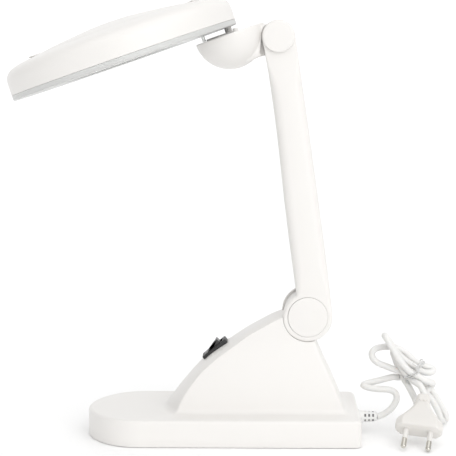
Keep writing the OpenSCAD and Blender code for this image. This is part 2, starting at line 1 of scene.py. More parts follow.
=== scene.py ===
import bpy, bmesh, json, math
from mathutils import Matrix, Vector


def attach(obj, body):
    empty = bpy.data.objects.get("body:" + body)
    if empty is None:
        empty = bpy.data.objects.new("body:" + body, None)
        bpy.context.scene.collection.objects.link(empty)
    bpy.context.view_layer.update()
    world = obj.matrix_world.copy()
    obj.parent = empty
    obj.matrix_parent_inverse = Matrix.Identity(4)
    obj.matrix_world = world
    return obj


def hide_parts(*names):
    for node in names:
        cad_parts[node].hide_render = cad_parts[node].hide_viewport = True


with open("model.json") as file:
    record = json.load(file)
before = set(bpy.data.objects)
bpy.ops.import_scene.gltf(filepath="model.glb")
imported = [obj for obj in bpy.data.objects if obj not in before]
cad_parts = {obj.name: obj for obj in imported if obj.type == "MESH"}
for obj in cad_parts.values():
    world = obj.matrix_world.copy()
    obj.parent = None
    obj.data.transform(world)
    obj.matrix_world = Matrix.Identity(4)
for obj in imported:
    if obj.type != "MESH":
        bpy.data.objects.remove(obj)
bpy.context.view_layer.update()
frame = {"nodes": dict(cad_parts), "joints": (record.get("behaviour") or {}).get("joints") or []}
NODES = frame["nodes"]
JOINTS = {j["name"]: j for j in frame["joints"]}
scene = bpy.context.scene
D = math.radians

# ------------------------------------------------------------------ places, in millimetres
def mm(p):
    return Vector(p) * 1000.0


P1 = mm(JOINTS["arm_tilt"]["pos_m"])
P2 = mm(JOINTS["head_tilt"]["pos_m"])
CUP = mm(JOINTS["head_swivel"]["pos_m"])
AX = JOINTS["head_swivel"]["axis"]
TILT = math.atan2(-AX[0], AX[2])
LEAN = math.atan2(P1.x - P2.x, P2.z - P1.z)
ARM_L = (P2 - P1).length
Z0, ZB, ZT = 1.5, 0.3, 20.5
SW, GAP, HR, LR = 80.6, 4.9, 88.0, 50.1
M_P1 = Matrix.Translation(P1)
M_P2 = Matrix.Translation(P2)
M_ARM = Matrix.Translation(P1) @ Matrix.Rotation(-LEAN, 4, "Y")
M_CUP = Matrix.Translation(CUP) @ Matrix.Rotation(-TILT, 4, "Y")
M_HEAD = M_CUP @ Matrix.Translation((-SW, 0, GAP))
M_SWITCH = Matrix.Translation((16.3, 0, 64.0)) @ Matrix.Rotation(D(-39.5), 4, "Y")
M_PLUG = (Matrix.Translation((166.6, -43.8, 11.8)) @ Matrix.Rotation(D(-103), 4, "Z")
          @ Matrix.Rotation(D(30), 4, "Y") @ Matrix.Rotation(D(-6), 4, "X"))
ID = Matrix.Identity(4)


# ------------------------------------------------------------------ mesh helpers
def finish_mesh(me, angle=32):
    bm = bmesh.new()
    bm.from_mesh(me)
    bmesh.ops.remove_doubles(bm, verts=bm.verts, dist=1e-6)
    bmesh.ops.recalc_face_normals(bm, faces=bm.faces)
    bm.to_mesh(me)
    bm.free()
    me.shade_smooth()
    me.set_sharp_from_angle(angle=D(angle))
    me.update()
    return me


def build(name, verts, faces, M=ID, angle=32):
    me = bpy.data.meshes.new(name)
    me.from_pydata([tuple((M @ Vector(v)) * 0.001) for v in verts], [], faces)
    finish_mesh(me, angle)
    ob = bpy.data.objects.new(name, me)
    scene.collection.objects.link(ob)
    return ob


def applied(ob, angle=32):
    """The object's mesh with its modifiers applied."""
    dg = bpy.context.evaluated_depsgraph_get()
    dg.update()
    me = bpy.data.meshes.new_from_object(ob.evaluated_get(dg))
    ob.modifiers.clear()
    old, ob.data = ob.data, me
    bpy.data.meshes.remove(old)
    finish_mesh(ob.data, angle)
    return ob


def drop(ob):
    me = ob.data
    bpy.data.objects.remove(ob)
    bpy.data.meshes.remove(me)


def boolean(ob, cutters, op="DIFFERENCE", angle=32):
    for c in cutters:
        m = ob.modifiers.new("b", "BOOLEAN")
        m.operation, m.solver, m.object = op, "EXACT", c
        applied(ob, angle)
        drop(c)
    return ob


def join(name, obs, angle=32):
    bm = bmesh.new()
    for o in obs:
        bm.from_mesh(o.data)
        drop(o)
    me = bpy.data.meshes.new(name)
    bm.to_mesh(me)
    bm.free()
    me.shade_smooth()
    me.set_sharp_from_angle(angle=D(angle))
    ob = bpy.data.objects.new(name, me)
    scene.collection.objects.link(ob)
    return ob


def bevel(ob, width, segments=2, limit=30, angle=32):
    m = ob.modifiers.new("bevel", "BEVEL")
    m.width, m.segments, m.limit_method, m.angle_limit = width * 0.001, segments, "ANGLE", D(limit)
    m.use_clamp_overlap, m.harden_normals, m.miter_outer = True, False, "MITER_ARC"
    return applied(ob, angle)


def remesh(ob, voxel, smooth=6, angle=60):
    m = ob.modifiers.new("r", "REMESH")
    m.mode, m.voxel_size, m.adaptivity = "VOXEL", voxel * 0.001, 0.0
    m.use_smooth_shade = True
    s = ob.modifiers.new("s", "CORRECTIVE_SMOOTH")
    s.iterations, s.use_only_smooth, s.factor = smooth, True, 0.5
    return applied(ob, angle)


def lathe(name, prof, M=ID, n=160, closed=True, angle=32):
    """prof, a list of (r, z), turned about Z."""
    verts, faces, ring = [], [], []
    for r, z in prof:
        if r < 1e-4:
            ring.append([len(verts)] * n)
            verts.append((0, 0, z))
        else:
            ring.append(list(range(len(verts), len(verts) + n)))
            verts += [(r * math.cos(2 * math.pi * k / n), r * math.sin(2 * math.pi * k / n), z) for k in range(n)]
    pairs = list(zip(ring, ring[1:])) + ([(ring[-1], ring[0])] if closed else [])
    for a, b in pairs:
        for k in range(n):
            f = []
            for v in (a[k], a[(k + 1) % n], b[(k + 1) % n], b[k]):
                if v not in f:
                    f.append(v)
            if len(f) > 2:
                faces.append(f)
    return build(name, verts, faces, M, angle)


def ycyl(name, prof, M=ID, n=96, angle=32):
    """prof, a list of (r, y), turned about Y."""
    return lathe(name, prof, M @ Matrix.Rotation(D(-90), 4, "X"), n, True, angle)


def drum(name, r, a, b, M=ID, n=96, e=0.0):
    """A closed cylinder along Y from a to b, its edges rounded by e."""
    if e <= 0:
        return ycyl(name, [(0, a), (r, a), (r, b), (0, b)], M, n)
    return ycyl(name, [(0, a), (r - 2 * e, a)] + [(r - e + e * math.sin(t), a + e - e * math.cos(t)) for t in arange(0, 90, 5)]
                + [(r - e + e * math.cos(t), b - e + e * math.sin(t)) for t in arange(0, 90, 5)] + [(r - 2 * e, b), (0, b)], M, n)


def rod(name, r, a, b, M=ID, n=48, e=0.0):
    return drum(name, r, a, b, M @ Matrix.Rotation(D(90), 4, "X"), n, e)


def arange(a, b, n):
    return [D(a + (b - a) * k / n) for k in range(n + 1)]


def box(name, lo, hi, M=ID, r=0.0, seg=3):
    me = bpy.data.meshes.new(name)
    bm = bmesh.new()
    bmesh.ops.create_cube(bm, size=1.0)
    for v in bm.verts:
        v.co = Vector([lo[i] + (v.co[i] + 0.5) * (hi[i] - lo[i]) for i in range(3)])
    if r > 0:
        bmesh.ops.bevel(bm, geom=list(bm.edges), offset=r, segments=seg, profile=0.5, affect="EDGES")
    for v in bm.verts:
        v.co = (M @ v.co) * 0.001
    bm.to_mesh(me)
    bm.free()
    finish_mesh(me)
    ob = bpy.data.objects.new(name, me)
    scene.collection.objects.link(ob)
    return ob


def fillet(poly, radii, seg=5):
    """A closed outline with its corners rounded: radii is one radius, or one for each point."""
    n, out = len(poly), []
    radii = radii if isinstance(radii, (list, tuple)) else [radii] * n
    for i, r in enumerate(radii):
        p, a, b = Vector(poly[i]), Vector(poly[i - 1]), Vector(poly[(i + 1) % n])
        u, v = (a - p).normalized(), (b - p).normalized()
        turn = math.pi - math.acos(max(-1, min(1, u.dot(v))))
        if r <= 0 or turn < 1e-3:
            out.append(tuple(p))
            continue
        t = min(r * math.tan(turn / 2), 0.49 * (a - p).length, 0.49 * (b - p).length)
        r = t / math.tan(turn / 2)
        c = p + (u + v).normalized() * math.hypot(r, t)
        s, e = p + u * t - c, p + v * t - c
        a0 = math.atan2(s.y, s.x)
        d = (math.atan2(e.y, e.x) - a0 + math.pi) % (2 * math.pi) - math.pi
        out += [(c.x + r * math.cos(a0 + d * k / seg), c.y + r * math.sin(a0 + d * k / seg)) for k in range(seg + 1)]
    return out


def stack(name, rings, M=ID, angle=32, caps=True):
    """Closed rings of the same number of points, skinned one to the next, with flat ends."""
    verts = [p for r in rings for p in r]
    n = len(rings[0])
    faces = []
    for i in range(len(rings) - 1):
        for k in range(n):
            faces.append((i * n + k, i * n + (k + 1) % n, (i + 1) * n + (k + 1) % n, (i + 1) * n + k))
    if caps:
        faces.append(tuple(range(n)))
        faces.append(tuple((len(rings) - 1) * n + k for k in range(n)))
    return build(name, verts, faces, M, angle)


def prism(name, poly, a, b, M=ID, e=0.0, angle=32, seg=4):
    """An X-Y outline between z = a and z = b, its rims rounded by e."""
    def inset(d):
        n, out = len(poly), []
        for i in range(n):
            p, q, s = Vector(poly[i - 1]), Vector(poly[i]), Vector(poly[(i + 1) % n])
            u, v = (q - p).normalized(), (s - q).normalized()
            nrm = Vector((-(u + v).y, (u + v).x)).normalized()
            k = max(0.5, math.sqrt((1 + u.dot(v)) / 2))
            out.append(q + nrm * d / k)
        return out
    area = sum(poly[i - 1][0] * poly[i][1] - poly[i][0] * poly[i - 1][1] for i in range(len(poly)))
    sgn = 1 if area > 0 else -1
    rings = []
    if e > 0:
        for t in arange(0, 90, seg):
            rings.append([(p[0], p[1], a + e - e * math.cos(t)) for p in inset(sgn * e * (1 - math.sin(t)))])
        for t in arange(0, 90, seg):
            rings.append([(p[0], p[1], b - e + e * math.sin(t)) for p in inset(sgn * e * (1 - math.cos(t)))])
    else:
        rings = [[(p[0], p[1], z) for p in poly] for z in (a, b)]
    return stack(name, rings, M, angle)


M_XZ = Matrix.Rotation(D(90), 4, "X")       # an X-Y outline stood up in X-Z: its z runs towards -Y


def interp(rows, x, col):
    """Smooth interpolation through rows of (x, ...), in column col."""
    xs = [r[0] for r in rows]
    n = len(rows)
    if x <= xs[0]:
        return rows[0][col]
    if x >= xs[-1]:
        return rows[-1][col]
    i = max(k for k in range(n - 1) if xs[k] <= x)

    def slope(k):
        if k == 0 or k == n - 1:
            a, b = (0, 1) if k == 0 else (n - 2, n - 1)
            return (rows[b][col] - rows[a][col]) / (xs[b] - xs[a])
        d0 = (rows[k][col] - rows[k - 1][col]) / (xs[k] - xs[k - 1])
        d1 = (rows[k + 1][col] - rows[k][col]) / (xs[k + 1] - xs[k])
        return (d0 * (xs[k + 1] - xs[k]) + d1 * (xs[k] - xs[k - 1])) / (xs[k + 1] - xs[k - 1])
    h = xs[i + 1] - xs[i]
    t = (x - xs[i]) / h
    m0, m1 = slope(i) * h, slope(i + 1) * h
    return ((2 * t ** 3 - 3 * t ** 2 + 1) * rows[i][col] + (t ** 3 - 2 * t ** 2 + t) * m0
            + (-2 * t ** 3 + 3 * t ** 2) * rows[i + 1][col] + (t ** 3 - t ** 2) * m1)


# ------------------------------------------------------------------ camera
cam = bpy.data.objects.new("camera", bpy.data.cameras.new("camera"))
scene.collection.objects.link(cam)
cam.data.sensor_width, cam.data.sensor_height, cam.data.sensor_fit = 36.0, 36.0, "HORIZONTAL"
cam.data.lens = 1575.9 / 456 * 36.0
cam.location = (0.0431, -1.1835, 0.2987)
look = Vector((math.sin(D(-0.86)) * math.cos(D(6.81)), math.cos(D(-0.86)) * math.cos(D(6.81)), -math.sin(D(6.81))))
cam.rotation_mode = "QUATERNION"
cam.rotation_quaternion = look.to_track_quat("-Z", "Y")
cam.data.clip_start, cam.data.clip_end = 0.02, 30
scene.camera = cam


# ------------------------------------------------------------------ materials
def mat(name, colour, rough=0.4, metal=0.0, grain=600.0, bump=0.05, vary=0.02, wear=0.0, sub=0.0,
        ior=1.5, trans=0.0, coat=0.0, alpha=1.0, stretch=None, rough_vary=0.06, spec=None, blotch=18.0):
    """A moulded, cast or rolled surface: colour drifting slowly, roughness and a fine texture from noise, rubbed edges."""
    m = bpy.data.materials.new(name)
    m.use_nodes = True
    nt = m.node_tree
    N, L = nt.nodes, nt.links
    for x in list(N):
        N.remove(x)
    out = N.new("ShaderNodeOutputMaterial")
    b = N.new("ShaderNodeBsdfPrincipled")
    L.new(b.outputs[0], out.inputs[0])
    b.inputs["Metallic"].default_value = metal
    b.inputs["IOR"].default_value = ior
    b.inputs["Transmission Weight"].default_value = trans
    b.inputs["Coat Weight"].default_value = coat
    b.inputs["Alpha"].default_value = alpha
    if spec is not None:
        b.inputs["Specular IOR Level"].default_value = spec
    if sub > 0:
        b.inputs["Subsurface Weight"].default_value = sub
        b.inputs["Subsurface Radius"].default_value = (0.0022, 0.002, 0.0017)
        b.inputs["Subsurface Scale"].default_value = 1.0
    co = N.new("ShaderNodeTexCoord")
    mp = N.new("ShaderNodeMapping")
    if stretch:
        mp.inputs["Scale"].default_value = stretch
    L.new(co.outputs["Object"], mp.inputs["Vector"])
    slow = N.new("ShaderNodeTexNoise")
    slow.inputs["Scale"].default_value, slow.inputs["Detail"].default_value = blotch, 4.0
    L.new(co.outputs["Object"], slow.inputs["Vector"])
    fine = N.new("ShaderNodeTexNoise")
    fine.inputs["Scale"].default_value, fine.inputs["Detail"].default_value = grain, 3.0
    L.new(mp.outputs[0], fine.inputs["Vector"])
    mix = N.new("ShaderNodeMix")
    mix.data_type = "RGBA"
    dark = tuple(max(0.0, c * (1 - vary) - 0.002) for c in colour)
    light = tuple(min(1.0, c * (1 + vary * 0.5)) for c in colour)
    mix.inputs[6].default_value, mix.inputs[7].default_value = (*dark, 1), (*light, 1)
    L.new(slow.outputs["Fac"], mix.inputs[0])
    colour_out = mix.outputs[2]
    if wear > 0:
        geo = N.new("ShaderNodeNewGeometry")
        ramp = N.new("ShaderNodeValToRGB")
        ramp.color_ramp.elements[0].position, ramp.color_ramp.elements[1].position = 0.52, 0.60
        L.new(geo.outputs["Pointiness"], ramp.inputs[0])
        mul = N.new("ShaderNodeMath")
        mul.operation = "MULTIPLY"
        L.new(ramp.outputs["Color"], mul.inputs[0])
        L.new(slow.outputs["Fac"], mul.inputs[1])
        edge = N.new("ShaderNodeMix")
        edge.data_type = "RGBA"
        L.new(mul.outputs[0], edge.inputs[0])
        L.new(colour_out, edge.inputs[6])
        edge.inputs[7].default_value = (*[min(1.0, c + wear) for c in colour], 1)
        colour_out = edge.outputs[2]
    L.new(colour_out, b.inputs["Base Color"])
    rr = N.new("ShaderNodeMapRange")
    rr.inputs["To Min"].default_value, rr.inputs["To Max"].default_value = max(0.02, rough - rough_vary), min(1.0, rough + rough_vary)
    both = N.new("ShaderNodeMath")
    both.operation = "ADD"
    half = N.new("ShaderNodeMath")
    half.operation = "MULTIPLY"
    half.inputs[1].default_value = 0.5
    L.new(slow.outputs["Fac"], both.inputs[0])
    L.new(fine.outputs["Fac"], both.inputs[1])
    L.new(both.outputs[0], half.inputs[0])
    L.new(half.outputs[0], rr.inputs["Value"])
    L.new(rr.outputs[0], b.inputs["Roughness"])
    if bump > 0:
        bp = N.new("ShaderNodeBump")
        bp.inputs["Strength"].default_value, bp.inputs["Distance"].default_value = bump, 0.0002
        L.new(fine.outputs["Fac"], bp.inputs["Height"])
        L.new(bp.outputs[0], b.inputs["Normal"])
    m["base"] = b.name
    return m


WHITE = mat("white_abs", (0.785, 0.768, 0.745), 0.36, grain=1400, bump=0.035, vary=0.012, sub=0.0, rough_vary=0.05)
WHITE2 = mat("white_abs_textured", (0.77, 0.757, 0.738), 0.52, grain=1800, bump=0.10, vary=0.02)
BLACK = mat("black_nylon", (0.012, 0.012, 0.013), 0.30, grain=1500, bump=0.05, vary=0.15, wear=0.03)
BLACK2 = mat("black_nylon_frame", (0.016, 0.016, 0.017), 0.48, grain=1600, bump=0.12, vary=0.15, wear=0.04)
CLEAR = mat("ribbed_clear_cover", (0.80, 0.805, 0.79), 0.33, grain=900, bump=0.10, vary=0.06, trans=0.30, ior=1.49, blotch=45)
GLASS = mat("lens_glass", (0.985, 0.995, 0.992), 0.035, grain=200, bump=0.0, vary=0.004, trans=1.0, ior=1.52, rough_vary=0.015)
STEEL = mat("plain_steel", (0.56, 0.56, 0.57), 0.30, 1.0, grain=900, bump=0.06, vary=0.10, stretch=(1, 6, 1))
ZINC = mat("zinc_plate", (0.66, 0.67, 0.66), 0.26, 1.0, grain=700, bump=0.05, vary=0.10, wear=0.05)
NICKEL = mat("nickel_pins", (0.62, 0.60, 0.55), 0.12, 1.0, grain=900, bump=0.02, vary=0.06, stretch=(1, 1, 5), rough_vary=0.05)
FIBRE = mat("hard_fibre", (0.07, 0.06, 0.055), 0.75, grain=2200, bump=0.25, vary=0.25)
RUBBER = mat("moulded_rubber", (0.16, 0.16, 0.16), 0.72, grain=2400, bump=0.22, vary=0.15, wear=0.05)
IRON = mat("cast_iron", (0.10, 0.10, 0.105), 0.62, 1.0, grain=900, bump=0.5, vary=0.25)
BOARD = mat("green_board", (0.02, 0.13, 0.05), 0.35, grain=1200, bump=0.05, vary=0.25)
PARTS = mat("component_bodies", (0.35, 0.30, 0.12), 0.42, grain=900, bump=0.05, vary=0.35, blotch=60)
LIGHTBOARD = mat("white_board", (0.80, 0.81, 0.80), 0.35, grain=1300, bump=0.05, vary=0.04)
LED = mat("led_phosphor", (0.86, 0.72, 0.22), 0.25, grain=1500, bump=0.05, vary=0.10, sub=0.2)
CORDMAT = mat("cord_sheath", (0.77, 0.765, 0.75), 0.42, grain=1100, bump=0.10, vary=0.05, sub=0.15, rough_vary=0.08)
PLUGMAT = mat("plug_plastic", (0.725, 0.705, 0.675), 0.46, grain=1500, bump=0.08, vary=0.03, sub=0.10)
# painted shade: a dark grey for the walls inside the strain relief's slots, standing in for the shadow within them
SLOT_PAINTED_SHADE = mat("slot_shade", (0.24, 0.24, 0.24), 0.6, grain=500, bump=0.2, vary=0.1)
RELIEFMAT = mat("relief_plastic", (0.80, 0.80, 0.79), 0.45, grain=1300, bump=0.08, vary=0.03, sub=0.15)
TIEMAT = mat("clear_tie", (0.84, 0.84, 0.83), 0.18, grain=700, bump=0.20, vary=0.05, trans=0.25, ior=1.48)


def dress(ob, material, body, slot, *replaced):
    ob.data.materials.clear()
    ob.data.materials.append(material)
    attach(ob, body)
    if replaced:
        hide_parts(*replaced)
    return ob


def skin(node, material, width=0.0, segments=2):
    """A CAD node that stays: its material and, if given, a rounded edge."""
    ob = NODES[node]
    ob.data.materials.clear()
    ob.data.materials.append(material)
    if width:
        m = ob.modifiers.new("bevel", "BEVEL")
        m.width, m.segments, m.limit_method, m.angle_limit = width * 0.001, segments, "ANGLE", D(40)
        m.use_clamp_overlap = True
    return ob


# ------------------------------------------------------------------ cord: one line from the strain relief to the plug
NECK = M_PLUG @ Vector((-36.5, 0, 0))
NECK_BACK = M_PLUG @ Vector((-44, 0, 0))
ROUTE = [
    (139.6, 0, 12.2),
    (142.1, 0.2, 12.6), (145.8, 1, 14.4), (150.1, 2, 17.4), (153.2, 2.8, 21.4), (154.9, 3.3, 25.2), (154.5, 3.5, 28.9), (152, 3.5, 31.5),
    (147.8, 3.5, 32.5), (142.8, 3.5, 32.7), (137.4, 3.5, 33.1), (131.8, 4, 34.1), (128.5, 6, 35.1), (130.9, 8.6, 35.8), (136.5, 9, 37.1),
    (143.2, 9, 38.7), (149.9, 9, 40.6), (155.2, 9.3, 41.7), (160.7, 10.2, 42.2), (166.2, 11, 41), (173, 12, 37.5), (179.2, 12.2, 33.6),
    (183.3, 12.4, 28.7), (187.6, 14.5, 21.2), (191.7, 17.5, 13.8), (194.5, 21, 7.6), (195.6, 24.5, 3.5), (193.6, 24, 3), (190.8, 18.5, 7.8),
    (188.2, 14.2, 12.9), (185.5, 11.4, 17.9), (182.3, 9.6, 23.4), (177.2, 8.4, 29.3), (171.2, 6.8, 36.8), (165.6, 5.6, 42.2), (160.1, 4.6, 45.4),
    (154, 3.8, 47.6), (149.3, 4, 49.3), (144, 4.5, 51.2), (139.3, 5, 53.2), (136.2, 5.5, 56.1), (135.2, 6, 59.4), (136.2, 6.5, 62.2),
    (139.4, 7, 64.1), (143.4, 7.5, 64.9), (148.1, 8, 64.9), (152.8, 8, 64.7), (157.1, 7.5, 63), (160.9, 7.5, 60.8), (164.2, 7.5, 58.1),
    (167, 8, 55), (170.2, 9, 52.2), (174, 10, 50.3), (178.1, 11, 49), (181.8, 12, 47.8), (183.7, 10.5, 46.4), (181.9, 8.5, 44.9),
    (178.4, 7, 44.8), (173.8, 5, 46.3), (168.6, 3, 50.1), (163.1, 2.6, 53.7), (157.7, 2.4, 57.8), (153.1, 2.4, 63.2), (148.9, 2.4, 69.3),
    (145.5, 1.4, 73.8), (144.3, -0.8, 75.6), (145.1, -3.4, 74.7), (147.6, -4, 70.5), (151.6, -4, 63.8), (155.3, -4, 57.7), (159.3, -4, 52.5),
    (163.9, -4, 47.7), (168.6, -4, 44.2), (173.7, -3.6, 41.6), (178.8, -2, 39.8), (182.4, 1.5, 37.8), (180.8, 3.8, 35.1), (177.2, 3.4, 31.4),
    (175, 4, 25.5), (175, 8, 18.4), (176.9, 13, 11.7), (179, 18, 6.7), (179.1, 22, 3.9), (177.4, 23, 6.5), (173.5, 12, 15.4),
    (170, 4, 22.7), (166.6, 0.5, 29.7), (163.5, 2, 35.4), (160.9, 7, 39.8), (158.2, 12.5, 44.4), (155.6, 14.6, 50.5), (153.3, 13.4, 56.9),
    (151.9, 11, 60), (152.2, 8.2, 60.1), (153.9, 6, 57), (156.5, 2.2, 52.2), (159.8, 0.6, 47), (163.3, -0.4, 43.4), (166.2, -2.6, 41.8),
    (169.3, -5.6, 40.4), (171.5, -8.4, 38.3), (173, -9.8, 35.3),
    tuple(M_PLUG @ Vector((-39.8, 0, 0))), tuple(NECK), tuple(M_PLUG @ Vector((-34, 0, 0)))]


def catmull(points, step):
    """Points on a smooth curve through the given ones (centripetal)."""
    P = [Vector(p) for p in points]
    P = [P[0] * 2 - P[1]] + P + [P[-1] * 2 - P[-2]]
    out = []
    for i in range(1, len(P) - 2):
        a, b, c, d = P[i - 1:i + 3]
        t0 = 0.0
        t1 = t0 + math.sqrt((b - a).length)
        t2 = t1 + math.sqrt((c - b).length)
        t3 = t2 + math.sqrt((d - c).length)
        n = max(2, int((c - b).length / step))
        for k in range(n):
            t = t1 + (t2 - t1) * k / n
            A1 = a * ((t1 - t) / (t1 - t0)) + b * ((t - t0) / (t1 - t0))
            A2 = b * ((t2 - t) / (t2 - t1)) + c * ((t - t1) / (t2 - t1))
            A3 = c * ((t3 - t) / (t3 - t2)) + d * ((t - t2) / (t3 - t2))
            B1 = A1 * ((t2 - t) / (t2 - t0)) + A2 * ((t - t0) / (t2 - t0))
            B2 = A2 * ((t3 - t) / (t3 - t1)) + A3 * ((t - t1) / (t3 - t1))
            out.append(B1 * ((t2 - t) / (t2 - t1)) + B2 * ((t - t1) / (t2 - t1)))
    out.append(P[-2])
    return out


CORD_D = 5.0
LINE = catmull(ROUTE, 1.6)
for _ in range(2):      # even the curve out, ends held
    LINE = [LINE[0], LINE[1]] + [(LINE[i - 1] + LINE[i] * 2 + LINE[i + 1]) / 4 for i in range(2, len(LINE) - 2)] + LINE[-2:]
# strands that would lie in each other are pushed apart a little at a time, each push spread along the lead
for _ in range(60):
    moved = [Vector((0, 0, 0)) for _p in LINE]
    cell = {}
    for i, p in enumerate(LINE):
        cell.setdefault((int(p.x // 6), int(p.y // 6), int(p.z // 6)), []).append(i)
    for i, p in enumerate(LINE):
        key = (int(p.x // 6), int(p.y // 6), int(p.z // 6))
        for dx in (-1, 0, 1):
            for dy in (-1, 0, 1):
                for dz in (-1, 0, 1):
                    for j in cell.get((key[0] + dx, key[1] + dy, key[2] + dz), ()):
                        if j <= i + 7:
                            continue
                        gap = LINE[j] - p
                        far = gap.length
                        if 1e-6 < far < CORD_D * 1.02:
                            push = gap.normalized() * (CORD_D * 1.02 - far) * 0.3
                            push.x *= 0.35
                            push.z *= 0.35
                            moved[i] -= push
                            moved[j] += push
    for _s in range(4):
        moved = [moved[0]] + [(moved[i - 1] + moved[i] * 2 + moved[i + 1]) / 4 for i in range(1, len(moved) - 1)] + [moved[-1]]
    hold = len(LINE)
    LINE = [p + moved[i] * min(1.0, i / 10.0, (hold - 1 - i) / 10.0) for i, p in enumerate(LINE)]
    LINE = [Vector((p.x, p.y, max(p.z, CORD_D / 2 + 0.1))) for p in LINE]

curve = bpy.data.curves.new("mains_lead", "CURVE")
curve.dimensions = "3D"
sp = curve.splines.new("POLY")
sp.points.add(len(LINE) - 1)
for q, p in zip(sp.points, LINE):
    q.co = (*(p * 0.001), 1.0)
curve.bevel_depth = CORD_D / 2000
curve.bevel_resolution = 6
curve.use_fill_caps = True
sp.use_smooth = True
lead = bpy.data.objects.new("mains_lead", curve)
scene.collection.objects.link(lead)
lead.data.materials.append(CORDMAT)
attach(lead, "base")
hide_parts("cord", "cord_hank", "cord_end")
LEAD_LENGTH = sum((a - b).length for a, b in zip(LINE, LINE[1:])) / 1000

# ------------------------------------------------------------------ plug
def plug_ring(s, half_w, half_t, cut):
    """One cross-section of the plug body at s along the pins' axis: a flat hexagonal oval with rounded corners."""
    o = [(-half_w, -half_t + cut), (-half_w + cut * 1.25, -half_t), (half_w - cut * 1.25, -half_t), (half_w, -half_t + cut),
         (half_w, half_t - cut), (half_w - cut * 1.25, half_t), (-half_w + cut * 1.25, half_t), (-half_w, half_t - cut)]
    return [(s, y, z) for y, z in fillet(o, min(1.6, cut * 0.7), 4)]


rows = [(-0.0, 15.6, 5.0, 2.2), (-0.25, 16.2, 5.7, 2.8), (-0.8, 16.8, 6.3, 3.4), (-1.8, 17.3, 6.65, 3.8), (-3.4, 17.55, 6.75, 4.0), (-7.2, 17.4, 6.7, 4.0),
        (-9.4, 16.4, 6.55, 3.9), (-12.0, 14.3, 6.3, 3.7), (-15.5, 11.6, 6.0, 3.3), (-19.5, 8.9, 5.6, 2.8), (-23.5, 6.9, 5.15, 2.3), (-26.6, 5.75, 4.8, 1.9),
        (-27.3, 5.35, 4.5, 1.7), (-27.5, 5.0, 4.15, 1.6)]
body = stack("plug_shell", [plug_ring(*r) for r in rows], M_PLUG, 40)
neck = stack("neck", [plug_ring(*r) for r in
                      [(-27.3, 4.6, 3.9, 1.5), (-27.6, 5.15, 4.6, 1.7), (-28.2, 5.3, 4.75, 1.8), (-35.3, 4.95, 4.45, 1.7), (-36.2, 4.7, 4.2, 1.6), (-36.6, 4.1, 3.7, 1.5)]], M_PLUG, 40)
grip = []
for s in (-1, 1):       # round collars at the roots of the pins
    grip.append(rod("c", 2.9, -0.5, 0.45, M_PLUG @ Matrix.Translation((0, s * 9, 0)) @ Matrix.Rotation(D(90), 4, "Y"), 40, 0.25))
boolean(neck, [box("m", (-28.9, y - 1.0, 4.1), (-27.9, y + 1.0, 6.0), M_PLUG, 0.15, 1) for y in (-3.0, 0.2, 3.2)])
plug = join("plug_moulding", [body, neck] + grip, 40)
dress(plug, PLUGMAT, "base", "plug_plastic", "plug_body")
sleeves, pins = [], []
for s in (-1, 1):
    T = M_PLUG @ Matrix.Translation((0, s * 9, 0)) @ Matrix.Rotation(D(90), 4, "Y")
    sleeves.append(lathe("s", [(1.5, 0.0), (2.0, 0.0), (1.98, 9.4), (1.85, 9.9), (1.6, 10.0), (1.5, 10.0)], T, 40))
    pins.append(lathe("p", [(0, 0.3), (1.48, 0.3), (1.48, 10.0), (1.85, 10.02), (2.0, 10.15), (2.0, 17.4)]
                      + [(0.2 + 1.8 * math.cos(t), 17.2 + 1.8 * math.sin(t)) for t in arange(0, 90, 6)] + [(0, 19.0)], T, 40))
sl = dress(join("pin_sleeves", sleeves), PLUGMAT, "base", "plug_plastic", "plug_sleeves")
pn = dress(join("contact_pins", pins), NICKEL, "base", "nickel", "plug_pins")

# ------------------------------------------------------------------ tie: a clear twist tie round the bundle, its ends twisted together
TIE_AT = Vector((169.4, 3.0, 48.6))
NEAR = [p for p in LINE if abs((p - TIE_AT).dot(Vector((0.62, 0, -0.78)))) < 2.0 and (p - TIE_AT).length < 11.5]


def tube(name, pts, r, sides=10, flat=1.0):
    cu = bpy.data.curves.new(name, "CURVE")
    cu.dimensions = "3D"
    s = cu.splines.new("POLY")
    s.points.add(len(pts) - 1)
    for q, p in zip(s.points, pts):
        q.co = (*(Vector(p) * 0.001), 1.0)
    cu.bevel_depth, cu.bevel_resolution, cu.use_fill_caps = r * 0.001, 3, True
    ob = bpy.data.objects.new(name, cu)
    scene.collection.objects.link(ob)
    dg = bpy.context.evaluated_depsgraph_get()
    me = bpy.data.meshes.new_from_object(ob.evaluated_get(dg))
    bpy.data.objects.remove(ob)
    bpy.data.curves.remove(cu)
    o = bpy.data.objects.new(name, me)
    scene.collection.objects.link(o)
    me.shade_smooth()
    return o


def hull2(points):
    pts = sorted(set((round(a, 3), round(b, 3)) for a, b in points))
    def half(ps):
        h = []
        for p in ps:
            while len(h) > 1 and (h[-1][0] - h[-2][0]) * (p[1] - h[-2][1]) - (h[-1][1] - h[-2][1]) * (p[0] - h[-2][0]) <= 0:
                h.pop()
            h.append(p)
        return h[:-1]
    return half(pts) + half(pts[::-1])


AXIS_T = Vector((0.62, 0, -0.78)).normalized()
UT, VT = Vector((0, 1, 0)), AXIS_T.cross(Vector((0, 1, 0)))
flat = [((p - TIE_AT).dot(UT), (p - TIE_AT).dot(VT)) for p in NEAR]
rim = []
for a, b in flat:
    rim += [(a + (CORD_D / 2 + 0.5) * math.cos(t), b + (CORD_D / 2 + 0.5) * math.sin(t)) for t in arange(0, 345, 23)]
loop = hull2(rim)
fine_loop = []
for i in range(len(loop)):
    a, b = Vector(loop[i]), Vector(loop[(i + 1) % len(loop)])
    n = max(1, int((b - a).length / 1.2))
    fine_loop += [a + (b - a) * k / n for k in range(n)]
wraps = []
for w, off in enumerate((-1.0, 0.9)):
    pts = [TIE_AT + UT * p.x + VT * p.y + AXIS_T * (off + 0.5 * math.sin(k * 0.5 + w)) for k, p in enumerate(fine_loop)]
    wraps.append(tube("w", pts + [pts[0]], 0.55))
